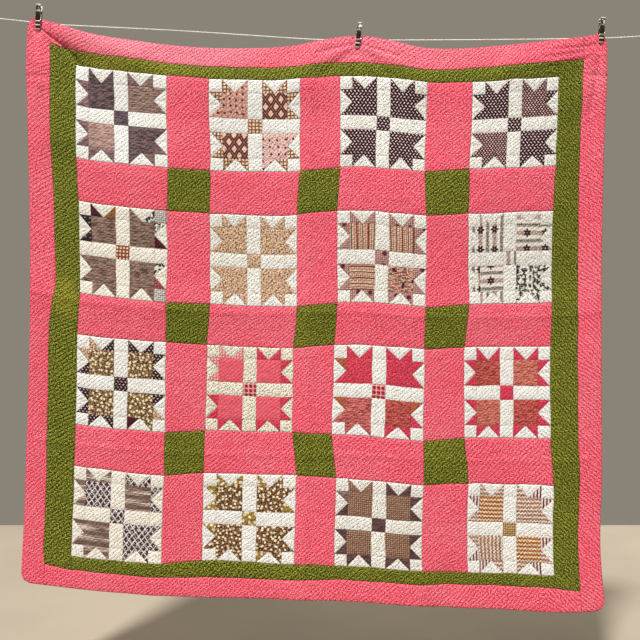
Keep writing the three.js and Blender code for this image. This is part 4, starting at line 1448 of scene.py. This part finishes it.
class QUILT_OT_backing(bpy.types.Operator):
    """Hang the muslin backing, which the patchwork is quilted to"""
    bl_idname = "quilt.backing"
    bl_label = "Backing"

    inset = 1.5

    def execute(self, context):
        settings = context.scene.quilt_cloth
        # Painted shade (#B9B2A6) and painted highlight (#24201C) of the muslin.
        muslin = plain_cotton(settings, "muslin", settings.backing, settings.backing, "#B9B2A6", "#24201C")
        columns = even_lines(self.inset, CLOTH_WIDTH - self.inset, BACKING_CELL)
        rows = np.concatenate((
            even_lines(self.inset, BACKING_FINE_DEPTH, BACKING_FINE_CELL)[:-1],
            even_lines(BACKING_FINE_DEPTH, CLOTH_LENGTH - self.inset, BACKING_CELL)))
        across, down = np.meshgrid(columns, rows)
        placed = round_corners(across, down)
        back = hung(*placed, np.zeros_like(across)).reshape(-1, 3)
        front = hung(*placed, np.full_like(across, BACKING_THICKNESS)).reshape(-1, 3)
        facing = grid_triangles(len(rows), len(columns))
        index = np.arange(len(back)).reshape(across.shape)
        rim = np.concatenate((index[-1, :-1], index[:0:-1, -1], index[0, :0:-1], index[:-1, 0]))
        after = np.roll(rim, -1)
        lower = len(back)
        walls = np.concatenate((np.stack((after, rim, rim + lower), 1),
                                np.stack((after, rim + lower, after + lower), 1)))
        triangles = np.concatenate((facing, facing[:, ::-1] + lower, walls))
        flat = np.stack((across, CLOTH_LENGTH - down), axis=-1).reshape(-1, 2)
        backing = cloth_piece("backing", np.concatenate((front, back)), triangles,
                              np.concatenate((flat, flat)), np.full(2 * len(flat), BACKING_CELL), [muslin])
        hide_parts("quilt")
        return {"FINISHED"}


class QUILT_OT_stage(bpy.types.Operator):
    """Set out the pale floor, the sun and the soft lights"""
    bl_idname = "quilt.stage"
    bl_label = "Stage"

    floor_height = -1.95
    floor_size = 3.7
    sky_colour = (0.254, 0.231, 0.188, 1)
    sun_power = 5.3
    sun_angle = 6
    sun_aim = (0.18, 0.42, -0.89)
    daylight = (1.0, 0.99, 0.975)

    def execute(self, context):
        deselect()
        bpy.ops.mesh.primitive_plane_add(size=self.floor_size, location=(0, 0, self.floor_height))
        floor = bpy.context.object
        floor.name = "floor"
        finish = Finish("pale_floor")
        place = finish.node("ShaderNodeTexCoord").outputs["Object"]
        cloudy = finish.noise(place, 900, 4.0)
        colour = finish.blend(finish.range(cloudy, 0.3, 0.7), (0.25, 0.21, 0.16), (0.30, 0.25, 0.19))
        finish.put(finish.shader.inputs["Base Color"], colour)
        finish.shader.inputs["Roughness"].default_value = 0.9
        floor.data.materials.append(finish.material)
        world = context.scene.world or bpy.data.worlds.new("studio")
        context.scene.world = world
        world.use_nodes = True
        sky = world.node_tree.nodes["Background"]
        sky.inputs["Color"].default_value = self.sky_colour
        sky.inputs["Strength"].default_value = 1
        sun = bpy.data.lights.new("key_light", "SUN")
        sun.energy = self.sun_power
        sun.angle = math.radians(self.sun_angle)
        sun.color = self.daylight
        lamp = bpy.data.objects.new("key_light", sun)
        lamp.rotation_euler = Vector(self.sun_aim).to_track_quat("-Z", "Y").to_euler()
        context.collection.objects.link(lamp)
        self.light("front_light", (0.0, -1.3, 0.9), (0.0, 0.0, -0.4), 1.2, 9, self.daylight)
        self.light("back_light", (0.6, 2.6, 1.2), (0.0, 0.0, -0.8), 2.0, 90, (1.0, 0.98, 0.95))
        context.scene.view_settings.view_transform = "Standard"
        return {"FINISHED"}

    def light(self, name, place, target, size, power, colour):
        data = bpy.data.lights.new(name, "AREA")
        data.size = size
        data.energy = power
        data.color = colour
        lamp = bpy.data.objects.new(name, data)
        lamp.location = place
        aim = Vector(target) - Vector(place)
        lamp.rotation_euler = aim.to_track_quat("-Z", "Y").to_euler()
        bpy.context.collection.objects.link(lamp)


class QUILT_PT_panel(bpy.types.Panel):
    """The quilt's pieces and settings, in the sidebar"""
    bl_idname = "QUILT_PT_panel"
    bl_label = "Bear Paw Quilt"
    bl_space_type = "VIEW_3D"
    bl_region_type = "UI"
    bl_category = "Quilt"

    def draw(self, context):
        layout = self.layout
        for settings in (context.scene.quilt_cloth, context.scene.quilt_pegs):
            box = layout.box()
            for name in settings.bl_rna.properties.keys():
                if name not in ("rna_type", "name"):
                    box.prop(settings, name)
        for operator in OPERATORS:
            layout.operator(operator.bl_idname)


OPERATORS = (QUILT_OT_camera, QUILT_OT_line, QUILT_OT_pegs, QUILT_OT_patchwork, QUILT_OT_backing,
             QUILT_OT_stage)
CLASSES = (QuiltSettings, PegSettings, *OPERATORS, QUILT_PT_panel)


def register():
    for cls in CLASSES:
        bpy.utils.register_class(cls)
    bpy.types.Scene.quilt_cloth = PointerProperty(type=QuiltSettings)
    bpy.types.Scene.quilt_pegs = PointerProperty(type=PegSettings)


def unregister():
    del bpy.types.Scene.quilt_pegs
    del bpy.types.Scene.quilt_cloth
    for cls in reversed(CLASSES):
        bpy.utils.unregister_class(cls)


def main():
    register()
    bpy.ops.quilt.camera()
    bpy.ops.quilt.line()
    bpy.ops.quilt.pegs()
    bpy.ops.quilt.patchwork()
    bpy.ops.quilt.backing()
    bpy.ops.quilt.stage()


if __name__ == "__main__":
    main()
